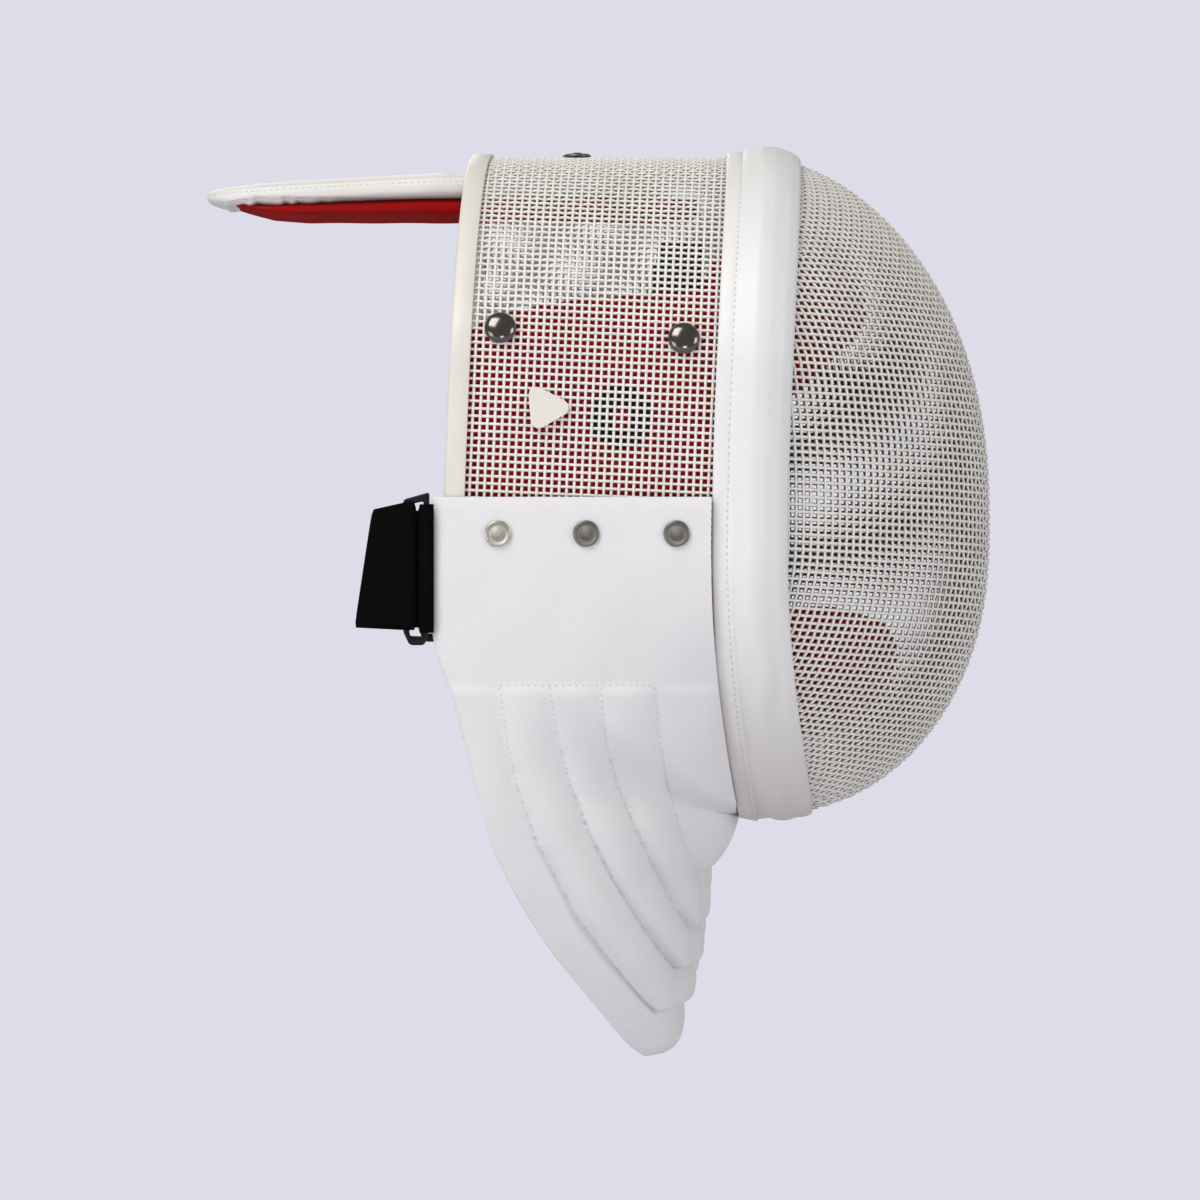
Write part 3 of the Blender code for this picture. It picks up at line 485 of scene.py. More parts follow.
# The face: rows are level sections that sag a little towards the ridge, one wire pitch apart
# along the ring; the columns cross each row at equal lengths from the ridge.
ROW_PITCH, COLUMN_PITCH, HALF_COLUMNS = 0.00303, 0.0036, 46
SAG, SAG_SPAN, FACE_LOW = 0.009, 0.213, CHIN_Z + 0.002
row_z = z_at(np.arange(5, int(length[-1] / ROW_PITCH) - 3) * ROW_PITCH)[:, None]
sag = SAG * np.clip((CROWN_TOP - row_z) / SAG_SPAN, 0.0, 1.3) ** 1.3


def face_section(share):
    """(y, z) on each row at shares of the way from the ridge to the ring."""
    z = np.clip(row_z - sag * (1.0 - share), FACE_LOW, CROWN_TOP)
    return np.minimum(half_width(row_z) * np.sin(0.5 * math.pi * share), half_width(z)), z


section = np.linspace(0.0, 1.0, 260)
spread_y, spread_z = face_section(section[None, :])
spread = np.dstack([face_x(spread_y, spread_z), spread_y, spread_z])
walk = np.pad(np.cumsum(np.linalg.norm(np.diff(spread, axis=1), axis=2), axis=1), ((0, 0), (1, 0)))
columns = np.arange(-HALF_COLUMNS, HALF_COLUMNS + 1)
want = np.abs(columns) * COLUMN_PITCH
node_y, node_z = face_section(np.array([np.interp(want, row, section) for row in walk]))
node_y = node_y * np.sign(columns)
face_valid = (want <= walk[:, -1:]) & (face_x(node_y, node_z) > ring_x(node_z) + 0.006)
SMALL = 1e-4
slope_y, slope_z = (
    (face_x(node_y + dy, node_z + dz) - face_x(node_y - dy, node_z - dz)) / (2.0 * SMALL)
    for dy, dz in ((SMALL, 0.0), (0.0, SMALL)))
face_normal = unit(np.dstack([np.ones_like(slope_y), -slope_y, -slope_z]))
face_nodes = np.dstack([face_x(node_y, node_z), node_y, node_z]) - WEAVE_DEPTH * face_normal
face_coat = coated("face_wire_coat", (0.94, 0.91, 0.85), (0.010, 0.010, 0.010))
woven("face", face_nodes, face_normal, face_valid, FACE_WIRE, face_coat)

# The crown and sides: one sheet bent to an inverted U, its weave turned a little on the sheet.
SIDE_PITCH, SIDE_TURN, SIDE_SHIFT = 0.00305, math.radians(-2.5), 0.004
side_length = length_to(-0.1519)
count_s, count_x = int(2.0 * (side_length + 0.02) / SIDE_PITCH), int(0.18 / SIDE_PITCH)
i, k = np.meshgrid(np.arange(count_s) - count_s // 2, np.arange(count_x) - count_x // 2,
                   indexing="ij")
sheet_x = SIDE_PITCH * (k * math.cos(SIDE_TURN) - i * math.sin(SIDE_TURN)) + SIDE_SHIFT
sheet_s = SIDE_PITCH * (k * math.sin(SIDE_TURN) + i * math.cos(SIDE_TURN))
side_z, way = z_at(sheet_s), np.sign(sheet_s + 1e-12)
ahead_z, behind_z = z_at(np.abs(sheet_s) + 5e-5), z_at(np.maximum(np.abs(sheet_s) - 5e-5, 0.0))
side_normal = unit(np.dstack([np.zeros_like(side_z), way * (behind_z - ahead_z),
                              half_width(ahead_z) - half_width(behind_z)]))
side_valid = ((sheet_x > rear_x(side_z) + 0.0022) & (sheet_x < ring_x(side_z) + 0.002)
              & (np.abs(sheet_s) < side_length))
side_nodes = np.dstack([sheet_x, np.sign(sheet_s) * half_width(side_z), side_z])
# Painted shade: the inner half of the side wires is grey-beige, though their coat is ivory on both
# sides.
side_coat = coated("side_wire_coat", (0.95, 0.935, 0.885), (0.60, 0.585, 0.54))
woven("side", side_nodes - WEAVE_DEPTH * side_normal, side_normal, side_valid, SIDE_WIRE, side_coat)


# Rear binding: an ivory channel pressed over the rear edge of the side mesh. Its section is given
# by places ahead of the edge and heights over the mesh, in mm.
def inward(line, closed=False):
    """Unit normals of an outline in its plane, towards the inside of the shell."""
    ends = ((line[-1:], line[:1]) if closed
            else (2 * line[:1] - line[1:2], 2 * line[-1:] - line[-2:-1]))
    padded_line = np.vstack([ends[0], line, ends[1]])
    along = unit(padded_line[2:] - padded_line[:-2])
    return np.column_stack([along[:, 1], -along[:, 0]])


TRIM_PROFILE = np.array([
    (8.5, 0.4), (8.5, 1.1), (8.1, 1.35), (4.0, 1.45), (1.3, 1.35), (0.4, 0.9), (0.0, 0.1),
    (0.0, -1.6), (0.4, -2.7), (1.3, -3.2), (4.0, -3.3), (8.2, -3.2), (8.5, -2.9), (8.5, -2.4),
    (1.2, -2.35), (0.9, -1.0), (1.2, 0.4)]) * 0.001
trim_s = np.linspace(-1.0, 1.0, 161) * length_to(CROWN_TOP - SIDE_DEPTH)
trim_line = np.column_stack([np.sign(trim_s) * half_width(z_at(trim_s)), z_at(trim_s)])
trim_in, trim_edge = inward(trim_line), rear_x(trim_line[:, 1])
trim_points = np.stack([np.column_stack([trim_edge + x, trim_line - trim_in * up])
                        for x, up in TRIM_PROFILE], axis=1)
trim_coat = coat("ivory_binding", (0.84, 0.81, 0.73), (0.66, 0.62, 0.54), 0.40, pebble, 700.0, 0.10)
stand_for(capped("rear_binding", trim_points, trim_coat), "rear_trim")


# Rim band: a wide strip of padded white leatherette, folded over the joint of the two meshes and
# stitched along its rear edge. It is drawn smooth over the crown and creases a little at the chin.
BAND_WIDTH, BAND_SEAT, BAND_CREASE, BAND_SOFT = 0.0313, 0.0008, 0.00052, 0.00022
BAND_SEAM = -0.61  # its place across the band, from -1 to 1
STITCHES = {  # pitch, length and thickness
    "band": (0.0029, 0.0019, 0.0005), "bib": (0.0027, 0.0017, 0.00045),
    "tongue": (0.0027, 0.0018, 0.00045)}
band_s = np.linspace(-length[-1], length[-1], 401)[:-1]
band_z = z_at(band_s)
band_line = np.column_stack([np.sign(band_s) * half_width(band_z), band_z])
band_in = inward(band_line, closed=True)


def ahead_on_face(line, reach):
    """(y, z) on the face that lie reach ahead of the ring, found by halving towards the nose."""
    centre = np.array([0.0, NOSE_Z])
    low, high = np.full(len(line), 0.3), np.ones(len(line))
    target = ring_x(line[:, 1]) + reach
    for _ in range(30):
        middle = 0.5 * (low + high)
        at = centre + middle[:, None] * (line - centre)
        far = face_x(at[:, 0], at[:, 1]) > target
        low, high = np.where(far, middle, low), np.where(far, high, middle)
    return centre + (0.5 * (low + high))[:, None] * (line - centre)


def thread(kind, name, paths, normals_at, finish):
    """Stitches of a kind along a list of paths: each a closed thread of 5 rings, 6 points round.

    A stitch is a bar of length long that follows the path and dips into the cloth at both ends:
    rise = thick (0.35 - 1.5 s^4), radius = thick / 2 sqrt(1 - 0.9 s^4), for s from -1 to 1.
    """
    (pitch, long, thick), rings, spots = STITCHES[kind], 5, 6
    middles, directions, lifts = [], [], []
    for path, normal in zip(paths, normals_at):
        run = path_lengths(path)
        count = max(int(run[-1] / pitch), 1)
        at = (np.arange(count) + 0.5) * run[-1] / count
        start, end = (on_path(path, run, np.clip(at + shift * long, 0.0, run[-1]))
                      for shift in (-0.4, 0.4))
        middles.append(on_path(path, run, at))
        directions.append(unit(end - start))
        lifts.append(on_path(normal, run, at))
    centre, way, up = (np.vstack(part)[:, None, None, :] for part in (middles, directions, lifts))
    side = unit(np.cross(way, up))
    s = np.linspace(-1.0, 1.0, rings)[None, :, None, None]
    turn = full_turn(spots)[None, None, :, None]
    radius = 0.5 * thick * np.sqrt(1.0 - 0.9 * s ** 4)
    points = (centre + 0.5 * long * s * way + thick * (0.35 - 1.5 * s ** 4) * up
              + radius * (np.cos(turn) * up + np.sin(turn) * side))
    first = np.arange(len(centre))[:, None] * rings * spots
    spot = np.arange(spots)
    ring = np.arange(rings - 1)[:, None] * spots
    after = (spot + 1) % spots
    one = np.stack([ring + spot, ring + after, ring + spots + after, ring + spots + spot],
                   axis=-1).reshape(-1, 4)
    quads = (first[:, :, None] + one[None]).reshape(-1, 4)
    ends = np.vstack([first + spot[::-1], first + (rings - 1) * spots + spot])
    return mesh_object(name, points, quads.tolist() + ends.tolist(), finish)


across = np.linspace(-1.0, 1.0, 41)
swell = np.interp(across,
                  [-1.0, -0.96, -0.80, -0.66, -0.61, -0.56, -0.45, -0.05, 0.35, 0.75, 0.95, 1.0],
                  [0.35, 0.95, 1.40, 1.65, 1.30, 1.75, 2.45, 3.75, 4.20, 3.40, 2.20, 1.2]) * 0.001
chin = held((-0.120 - band_z) / 0.10)
band_outer, band_inner = [], []
for share, rise in zip(across, swell):
    reach = 0.5 * BAND_WIDTH * share
    flat = band_line if reach <= 0.0 else ahead_on_face(band_line, reach)
    depth = ring_x(band_line[:, 1]) + reach
    wave = 2.2 * math.pi * share * (1.0 + 0.2 * chin) + 1.1 * np.sin(100.0 * band_s)
    crease = BAND_CREASE * chin * np.sin(wave) * (1.0 - share ** 2)
    soft = (BAND_SOFT * np.sin(band_s * 71.0 + 3.0 * share) * np.sin(band_s * 31.0)
            * (1.0 - share ** 4))
    over = BAND_SEAT + rise * (1.0 - 0.55 * chin * (share > -0.5)) + crease + soft
    band_outer.append(np.column_stack([depth, flat - band_in * over[:, None]]))
    band_inner.append(np.column_stack([depth, flat - band_in * BAND_SEAT]))
band_points = np.stack(band_outer + band_inner[::-5], axis=1)
band_coat, graph, colour_input, tone, _ = detailed(
    "white_leatherette", (0.885, 0.88, 0.87), (0.80, 0.785, 0.76), 0.44, pebble, 1100.0, 0.16,
    patches=14.0)
# Painted shade: from z = -0.190 down to -0.250 the band's colour goes to a warm grey, for its lower
# part, which gets less light.
level = graph.add("SeparateXYZ", "Z", {0: graph.add("TexCoord", "Object", {})})
graph.feed(colour_input, graph.mix(graph.span(level, -0.190, -0.250), tone, (0.70, 0.655, 0.615)))
band = surface("band", band_points, band_coat, wrap_rows=True, wrap_columns=True)
stand_for(band, "rim_band")

# Stitches of the band: one line round it, 6 mm ahead of its rear edge, each in a small dent.
stitch_path = band_points[:, int(np.argmin(np.abs(across - BAND_SEAM)))]
stitch_up = np.column_stack([np.zeros(len(band_in)), -band_in])
stitch_path, stitch_up = (np.vstack([line, line[:1]]) for line in (stitch_path, stitch_up))
band_thread_coat = coat("band_thread", (0.70, 0.68, 0.65), (0.5, 0.48, 0.45), 0.7, brushing, 5000.0,
                        0.2, specular=0.2)
band_thread = thread("band", "band_thread", [stitch_path], [stitch_up], band_thread_coat)
stand_for(band_thread, "rim_band")


# Bib: padded throat guard of white twill, riveted on along its top edge. Tiers of padding lie
# between chevron seams, which meet well towards the right side of the front, as in the photo.
# Above the top seam and in front of the last one the cloth is plain.
BIB_TOP_Z, BIB_LENGTH, BIB_THICK, BIB_SEAT = CROWN_TOP - 0.146, 0.234, 0.004, 0.0015
BIB_REAR, BAND_GAP = -0.294, 0.0004
# heights of the padding at the top line, and what they gain by the tip
PLAIN_SWELL, TIER_SWELL, BIB_SOFT, HEM_SINK = (0.0012, 0.0045), (0.0017, 0.0066), 0.00022, 0.0006
BIB_ROWS = np.array((
    # drop, rear, front, half, nose: shares of the bib's length, the last two as in the solid
    (0.000, BIB_REAR, 0.196, 1.000, 1.00),
    (0.180, BIB_REAR, 0.196, 1.000, 1.00),
    (0.237, -0.293, 0.196, 1.000, 1.00),
    (0.290, -0.283, 0.197, 0.995, 1.00),
    (0.345, -0.258, 0.203, 0.985, 1.00),
    (0.400, -0.245, 0.210, 0.965, 1.00),
    (0.460, -0.230, 0.235, 0.935, 0.95),
    (0.520, -0.215, 0.248, 0.900, 0.85),
    (0.568, -0.202, 0.2496, 0.865, 0.74),
    (0.600, -0.192, 0.240, 0.840, 0.68),
    (0.634, -0.178, 0.216, 0.810, 0.61),
    (0.680, -0.156, 0.184, 0.770, 0.56),
    (0.715, -0.136, 0.181, 0.730, 0.55),
    (0.760, -0.108, 0.1735, 0.670, 0.55),
    (0.805, -0.076, 0.163, 0.600, 0.55),
    (0.850, -0.040, 0.151, 0.520, 0.55),
    (0.890, -0.008, 0.142, 0.440, 0.55),
    (0.930, 0.024, 0.1375, 0.350, 0.55),
    (0.962, 0.049, 0.135, 0.270, 0.55),
    (0.985, 0.068, 0.124, 0.190, 0.55),
    (1.000, 0.096, 0.101, 0.100, 0.55),
))
SEAMS = [np.array(seam) * 0.001 for seam in (
    # each seam from the top line to its point: places along X and heights, in mm
    ((-41.3, -193.9), (-37.7, -219.6), (-34.0, -236.4), (-26.0, -259.5), (-17.4, -275.0),
     (-9.3, -290.8), (3.2, -308.0), (15.6, -324.5), (25.0, -335.0)),
    ((-20.9, -193.9), (-17.5, -216.0), (-12.5, -236.0), (-5.0, -255.0), (4.5, -275.0),
     (14.5, -292.0), (23.5, -306.0), (31.0, -316.5)),
    ((0.0, -194.2), (2.2, -216.0), (6.8, -236.0), (14.0, -255.0), (22.5, -273.0), (30.5, -289.0),
     (35.5, -297.5)),
    ((22.5, -194.6), (24.0, -215.0), (27.5, -235.0), (32.0, -252.0), (37.5, -268.0),
     (41.0, -278.5)),
)]
SEAM_TOP_Z = -0.1942
# depths below the origin, and how far to the right of the middle the points lie there
POINT_SHIFT = ((0.218, 0.268, 0.300, 0.335), (0.0, 0.024, 0.028, 0.036))
# Beyond the points the seams run on round the front nearly level: a length beyond a point counts
# there as the shorter length that it would be on the near side.
BEYOND = np.linspace(0.0, 0.3, 601)
AS_NEAR = 0.24 * BEYOND + 0.76 * 0.006 * np.log1p(np.exp((BEYOND - 0.034) / 0.006))
AS_NEAR = AS_NEAR - AS_NEAR[0]
ROWS, COLUMNS = 190, 105


def bib_side(drop, share):
    """Outer face of the left half at (drop, share), share running from the rear edge forward.

    With s = sin(pi share / 2)^(2 - nose): x = rear + (end - rear) s and
    y = side (1 - (a s)^2.2)^nose, where a is 1 below the chin and above it lets y end at the band;
    from the chin up it goes smoothly from one to the other, over 5 mm at the band and more behind.
    """
    window = np.linspace(-0.018, 0.018, 7)
    rear, front, half, nose = np.mean(
        [read_table(BIB_ROWS, held(drop + shift)) for shift in window], axis=0)
    z = BIB_TOP_Z - drop * BIB_LENGTH
    side = half * HALF_WIDTH + BIB_SEAT + BIB_THICK
    above = z > CHIN_Z
    start_x = rear * BIB_LENGTH
    end_x = np.where(above, ring_x(z) - 0.5 * BAND_WIDTH - BAND_GAP, front * BIB_LENGTH)
    end_y = np.where(above, np.minimum(half_width(z) + BIB_THICK + BIB_SEAT, side), 0.0)
    ahead = (1.0 - (end_y / side) ** (1.0 / nose)) ** (1.0 / 2.2)
    s = np.sin(0.5 * math.pi * share) ** (2.0 - nose)
    near_chin = held((z - CHIN_Z) / (0.005 + 0.090 * (1.0 - s)))
    ahead = 1.0 - (1.0 - ahead) * near_chin ** 2 * (3.0 - 2.0 * near_chin)
    y = side * held(1.0 - (ahead * s) ** 2.2) ** nose
    return np.dstack([start_x + (end_x - start_x) * s, y, z])


def seam_reach(seam):
    """Length round the bib from the points' line to a seam on the right side, for every row.

    Where the seam has ended below its point, the value falls below zero.
    """
    at = np.interp(-row_z, -seam[:, 1], seam[:, 0])
    front = np.array([np.interp(x, row_x[:COLUMNS], row_arc[:COLUMNS])
                      for x, row_x, row_arc in zip(at, base[..., 0], arc)])
    return (lean[:, 0] - front - 3.0 * np.clip(seam[-1, 1] - row_z, 0.0, None))[:, None]


bib_share = 1.0 - (1.0 - np.linspace(0.0, 1.0, COLUMNS)) ** 1.25
drop, share = np.meshgrid(np.linspace(0.0, 1.0, ROWS), bib_share, indexing="ij")
left_half = bib_side(drop, share)
base = np.concatenate([left_half * (1.0, -1.0, 1.0), left_half[:, ::-1]], axis=1)
row_z, bib_z = base[:, 0, 2], base[..., 2]
step_length = np.linalg.norm(np.diff(base, axis=1), axis=2)
step_length[:, COLUMNS - 1] = 0.0
arc = np.pad(np.cumsum(step_length, axis=1), ((0, 0), (1, 0)))
arc = arc - arc[:, COLUMNS - 1:COLUMNS]
lean = -np.interp(-base[:, :1, 2], *POINT_SHIFT)
off = np.where(arc < lean, lean - arc, np.interp(arc - lean, BEYOND, AS_NEAR))
reaches = [seam_reach(seam) for seam in SEAMS]
tier_edges = [np.maximum(off[:, :1], off[:, -1:]) + 0.004] + reaches
low = held((-0.200 - bib_z) / 0.11)
plain_depth = ((PLAIN_SWELL[0] + PLAIN_SWELL[1] * low)
               * (1.0 - np.exp(-(reaches[-1] - off) / 0.007)))
depth = np.where(off < reaches[-1], plain_depth, 0.0)
for number, (outer_edge, inner_edge) in enumerate(zip(tier_edges[:-1], tier_edges[1:])):
    inside = (off < outer_edge) & (off >= inner_edge)
    wide = np.maximum(outer_edge - np.maximum(inner_edge, -0.012), 0.004)
    t = held((outer_edge - off) / wide)
    tall = (TIER_SWELL[0] + TIER_SWELL[1] * low ** 1.2) * (1.0 if number else 0.8)
    depth = np.where(inside, tall * np.sin(math.pi * t ** 0.72) ** 0.60, depth)

# Outward directions, taken on each half by itself: the two halves meet at the middle columns.
across_way = np.gradient(base, axis=1)
for column in (COLUMNS - 1, COLUMNS):
    first = column - 1 if column < COLUMNS else column
    across_way[:, column] = base[:, first + 1] - base[:, first]
out = unit(np.cross(across_way, np.gradient(base, axis=0)))
out *= -1.0 if float(out[40, 30, 1]) > 0.0 else 1.0
halves_meet = slice(COLUMNS - 1, COLUMNS + 1)
closed_front = base[:, halves_meet, 1] ** 2 < 1e-10
out[:, halves_meet] = np.where(closed_front[..., None], (1.0, 0.0, -0.15), out[:, halves_meet])

# The padding fades at the top line, the tip, the hems, the band and a little at the middle.
edge_share = np.concatenate([share, share[:, ::-1]], axis=1)
at_band = held((bib_z - CHIN_Z + 0.010) / 0.022)
near_band = 1.0 - at_band * (1.0 - held((1.0 - edge_share) / 0.22))
front_calm = 1.0 - 0.68 * np.exp(-(np.abs(arc) / 0.0075) ** 2) * (1.0 - at_band)
depth *= (held((SEAM_TOP_Z - bib_z) / 0.004) * held((1.0 - drop[:, :1]) / 0.03) ** 0.5
          * near_band * front_calm)
soft = (np.sin(base[..., 0] * 95.0 + bib_z * 40.0) * np.sin(bib_z * 83.0 + 1.3)
        + 0.6 * np.sin(base[..., 0] * 160.0 - bib_z * 120.0)) * BIB_SOFT
hem = np.exp(-(edge_share / 0.018) ** 2) + np.exp(-(drop[:, :1] / 0.012) ** 2)
depth += soft * near_band * held((BIB_TOP_Z - bib_z) / 0.03) - HEM_SINK * hem
bib_points = base + out * depth[..., None]
from_rear = np.concatenate([arc[:, :COLUMNS] - arc[:, :1], arc[:, -1:] - arc[:, COLUMNS:]], axis=1)
bib_uv = np.dstack([from_rear, bib_z])

# Twill of the bib cloth: fine slanted ribs over (u, v) in metres, crossed by the yarns.
twill, graph, vector, scale, gives = effect("twill_ribs", "Height")
split = graph.add("SeparateXYZ", "X", {0: vector}).node.outputs
u, v = (graph.times(split[axis], scale) for axis in ("X", "Y"))
ribs = graph.maths("SINE", graph.plus(graph.times(u, 5.15), graph.times(v, 3.58)))
yarns = graph.maths("SINE", graph.maths("SUBTRACT", graph.times(v, 11.9), graph.times(u, 3.8)))
weave = graph.plus(graph.times(ribs, 0.32), graph.times(yarns, 0.16))
lint = graph.noise(vector, 1300.0)
graph.feed(gives["Height"], graph.plus(graph.plus(weave, 0.25), graph.times(lint, 0.5)))

# The bib's mesh: the outer face, a smooth lining behind it and a rim where the two end. Below the
# chin the two halves are one cloth, so their middle columns share their points.
# The second colour is the painted shade in the hollows of the twill.
bib_cloth = on_cloth("white_twill", (0.87, 0.862, 0.865), (0.80, 0.795, 0.80), twill, 1350.0, 0.16,
                     0.88, 0.15, 0.65, 0.15)
closed_rows = np.nonzero(closed_front.all(axis=1))[0]
total = ROWS * 2 * COLUMNS
index = np.arange(total).reshape(ROWS, 2 * COLUMNS)
index[closed_rows, COLUMNS] = index[closed_rows, COLUMNS - 1]
quads = np.delete(grid_faces(index), COLUMNS - 1, axis=1).reshape(-1, 4)
lining = base - out * (BIB_THICK - 0.0008) + 0.35 * out * np.minimum(depth, 0.0)[..., None]
both_faces = np.concatenate([bib_points.reshape(-1, 3), lining.reshape(-1, 3)])
edge_from, edge_to = quads.ravel(), np.roll(quads, -1, axis=1).ravel()
open_edge = ~np.isin(edge_from * total + edge_to, edge_to * total + edge_from)
edge_from, edge_to = edge_from[open_edge], edge_to[open_edge]
rim = np.stack([edge_to, edge_from, edge_from + total, edge_to + total], axis=-1)
used, quads = np.unique(np.vstack([quads, quads[:, ::-1] + total, rim]), return_inverse=True)
bib = face_outward(mesh_object(
    "bib_cloth", both_faces[used], quads.reshape(-1, 4).tolist(), bib_cloth,
    uv=np.tile(bib_uv.reshape(-1, 2), (2, 1))[used]))
stand_for(bib, "bib")

# Seam thread of the bib: short white stitches along every chevron and along the top line.
stitch_paths, stitch_normals = [], []
columns_at = np.arange(2 * COLUMNS)


def seam_at(reach, way):
    """Length from the middle to a seam, on the near side (way -1) or beyond its point (1)."""
    return way * (reach if way < 0.0 else np.interp(reach, AS_NEAR, BEYOND))


for reach in reaches:
    rows = np.nonzero((reach[:, 0] > 0.0005) & (row_z < SEAM_TOP_Z))[0]
    for way in (-1.0, 1.0):
        target = lean[rows, 0] + seam_at(reach[rows, 0], way)
        column = np.array([np.interp(to, arc[row], columns_at) for row, to in zip(rows, target)])
        left = np.clip(column.astype(int), 0, 2 * COLUMNS - 2)
        part = (column - left)[:, None]
        path = bib_points[rows, left] * (1.0 - part) + bib_points[rows, left + 1] * part
        inside = np.abs(target) < np.abs(arc[rows, 0]) - 0.004
        if inside.sum() > 3:
            stitch_paths.append(path[inside])
            stitch_normals.append(out[rows, left][inside])
top_row = int(np.argmin(np.abs(row_z - SEAM_TOP_Z)))
for way in (-1.0, 1.0):
    first, last = (np.interp(lean[top_row, 0] + seam_at(reach[top_row, 0], way), arc[top_row],
                             columns_at) for reach in (reaches[0], reaches[-1]))
    left = np.linspace(first, last, 60).astype(int)
    stitch_paths.append(bib_points[top_row, left])
    stitch_normals.append(out[top_row, left])
thread_white = coat("white_thread", (0.76, 0.76, 0.77), (0.62, 0.61, 0.60), 0.7, brushing, 5000.0,
                    0.2, specular=0.2)
seam_thread = thread("bib", "seam_thread", stitch_paths, stitch_normals, thread_white)
stand_for(seam_thread, "bib")


# Snaps, discs, plates and rivet: turned and pressed metal caps, and the ivory plate screwed to
# each side. They sit on the weave, or on the cloth of the bib's top edge.
def turned_cap(name, profile, place, normal, finish, count=48):
    """Solid of revolution of (radius, height) pairs about normal at place; both ends closed."""
    turn = full_turn(count)
    radius, rise = np.array(profile).T
    points = np.stack([np.outer(radius, np.cos(turn)), np.outer(radius, np.sin(turn)),
                       np.repeat(rise[:, None], count, axis=1)], axis=-1)
    z = Vector(normal).normalized()
    x = Vector((-z.y, z.x, 0.0)) if abs(z.z) < 0.99 else Vector((1.0, 0.0, 0.0))
    x.normalize()
    return capped(name, points @ np.array(Matrix((x, z.cross(x), z))) + np.array(place), finish)


chrome = coat("dark_chrome", (0.17, 0.155, 0.145), (0.12, 0.10, 0.09), 0.15, brushing, 2500.0, 0.02,
              metallic=1.0, patches=200.0)
satin = coat("satin_nickel", (0.60, 0.58, 0.50), (0.42, 0.38, 0.31), 0.32, brushing, 5200.0, 0.12,
             metallic=1.0, patches=220.0)
dark_nickel = coat("dark_nickel", (0.24, 0.23, 0.21), (0.16, 0.14, 0.12), 0.34, brushing, 5200.0,
                   0.12, metallic=1.0, patches=220.0)
plate_coat = coat("ivory_plate", (0.86, 0.83, 0.76), (0.70, 0.66, 0.58), 0.38, pebble, 1500.0, 0.06,
                  patches=90.0)
SIDES = ((-1.0, "right"), (1.0, "left"))
CAP_LIFT = 0.0004
DISC_Z, DISC_Y = BIB_TOP_Z - 0.0150, HALF_WIDTH + BIB_SEAT + BIB_THICK + 0.0003
DOME = [(0.0065 * math.sin(t), 0.0006 + 0.0029 * math.cos(t) ** 0.9)
        for t in np.linspace(0.02, 1.45, 14)] + [(0.0066, 0.0004), (0.0065, 0.0)]
DISC = [(0.0007, 0.00105), (0.0022, 0.00105), (0.0026, 0.00118), (0.0040, 0.00120),
        (0.0043, 0.00112), (0.0049, 0.00112), (0.0053, 0.00085), (0.0054, 0.0004), (0.0053, 0.0)]
RIVET = [(0.0007, 0.00175), (0.0018, 0.00170), (0.0022, 0.00125), (0.0034, 0.00120),
         (0.0052, 0.00110), (0.0060, 0.0005), (0.0060, 0.0)]
for side, label in SIDES:
    for name, along, down in (("front", 0.236, 0.451), ("rear", 0.838, 0.427)):
        z = CROWN_TOP - down * SIDE_DEPTH
        slope = float(half_width(z + 0.002) - half_width(z - 0.002)) / 0.004
        normal = Vector((0.0, side, -slope)).normalized()
        at = Vector((float(side_x(z, along)), side * float(half_width(z)), z)) + normal * CAP_LIFT
        cap = turned_cap(f"dome_{label}_{name}", DOME, at, normal, chrome)
        stand_for(cap, f"snap_{label}_{name}")
        repaint(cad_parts[f"snap_socket_{label}_{name}"], satin)
    for name, along, finish in (("1", 0.820, satin), ("2", 0.533, dark_nickel),
                                ("3", 0.240, dark_nickel)):
        at = (float(side_x(DISC_Z, along)), side * DISC_Y, DISC_Z)
        cap = turned_cap(f"disc_{label}_{name}", DISC, at, (0.0, side, 0.0), finish)
        stand_for(cap, f"bib_disc_{label}_{name}")
    repaint(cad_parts[f"plate_{label}"], plate_coat)
rivet_at = (REAR_X + 0.40 * (RING_X - REAR_X) - 0.0022, 0.0, CROWN_TOP + CAP_LIFT)
rivet = turned_cap("rivet", RIVET, rivet_at, (0.0, 0.0, 1.0), dark_nickel)
stand_for(rivet, "crown_rivet")


# Tongue: a spring strip riveted under the crown carries a flat pad of red lining; its cover is
# white leatherette, stitched along the edge, drawn round the pad and gathered under the tip.
TONGUE_FRONT, TONGUE_REACH, TONGUE_HALF = 0.042, 0.1664, 0.034
COVER_BASE = 0.0206 - 0.0082
PAD_BASE = COVER_BASE - 0.0104
TONGUE_SEAM = 0.20  # sine of the angle round the cover's section
FOLD_DEPTH, GROOVE_DEPTH, EDGE_HANG = 0.0006, 0.0004, 0.0012
COVER_ROWS = np.array((
    # share along, top and bottom in mm over the cover's base, half width
    (0.165, 5.4, -1.4, 0.90),
    (0.175, 6.6, -3.0, 0.98),
    (0.400, 8.0, -3.4, 1.00),
    (0.520, 8.5, -3.5, 1.00),
    (0.650, 7.0, -4.0, 1.00),
    (0.750, 5.9, -5.0, 1.00),
    (0.828, 5.0, -5.9, 0.99),
    (0.885, 4.1, -6.3, 0.93),
    (0.930, 3.1, -6.3, 0.84),
    (0.957, 2.4, -5.8, 0.76),
    (0.978, 1.6, -5.0, 0.64),
    (0.992, 0.9, -4.2, 0.50),
    (0.998, 0.2, -3.6, 0.40),
    (1.000, -0.6, -2.8, 0.32),
))
PAD_ROWS = np.array((
    # the same over the pad's base
    (0.000, 7.2, 3.0, 0.55),
    (0.015, 8.0, 1.0, 0.76),
    (0.050, 8.2, 0.0, 0.96),
    (0.550, 8.2, 0.0, 1.00),
    (0.800, 6.2, 0.2, 0.99),
    (0.873, 5.4, 1.3, 0.95),
    (0.905, 5.2, 3.2, 0.88),
    (0.925, 5.2, 4.2, 0.75),
    (0.940, 5.2, 4.8, 0.55),
))


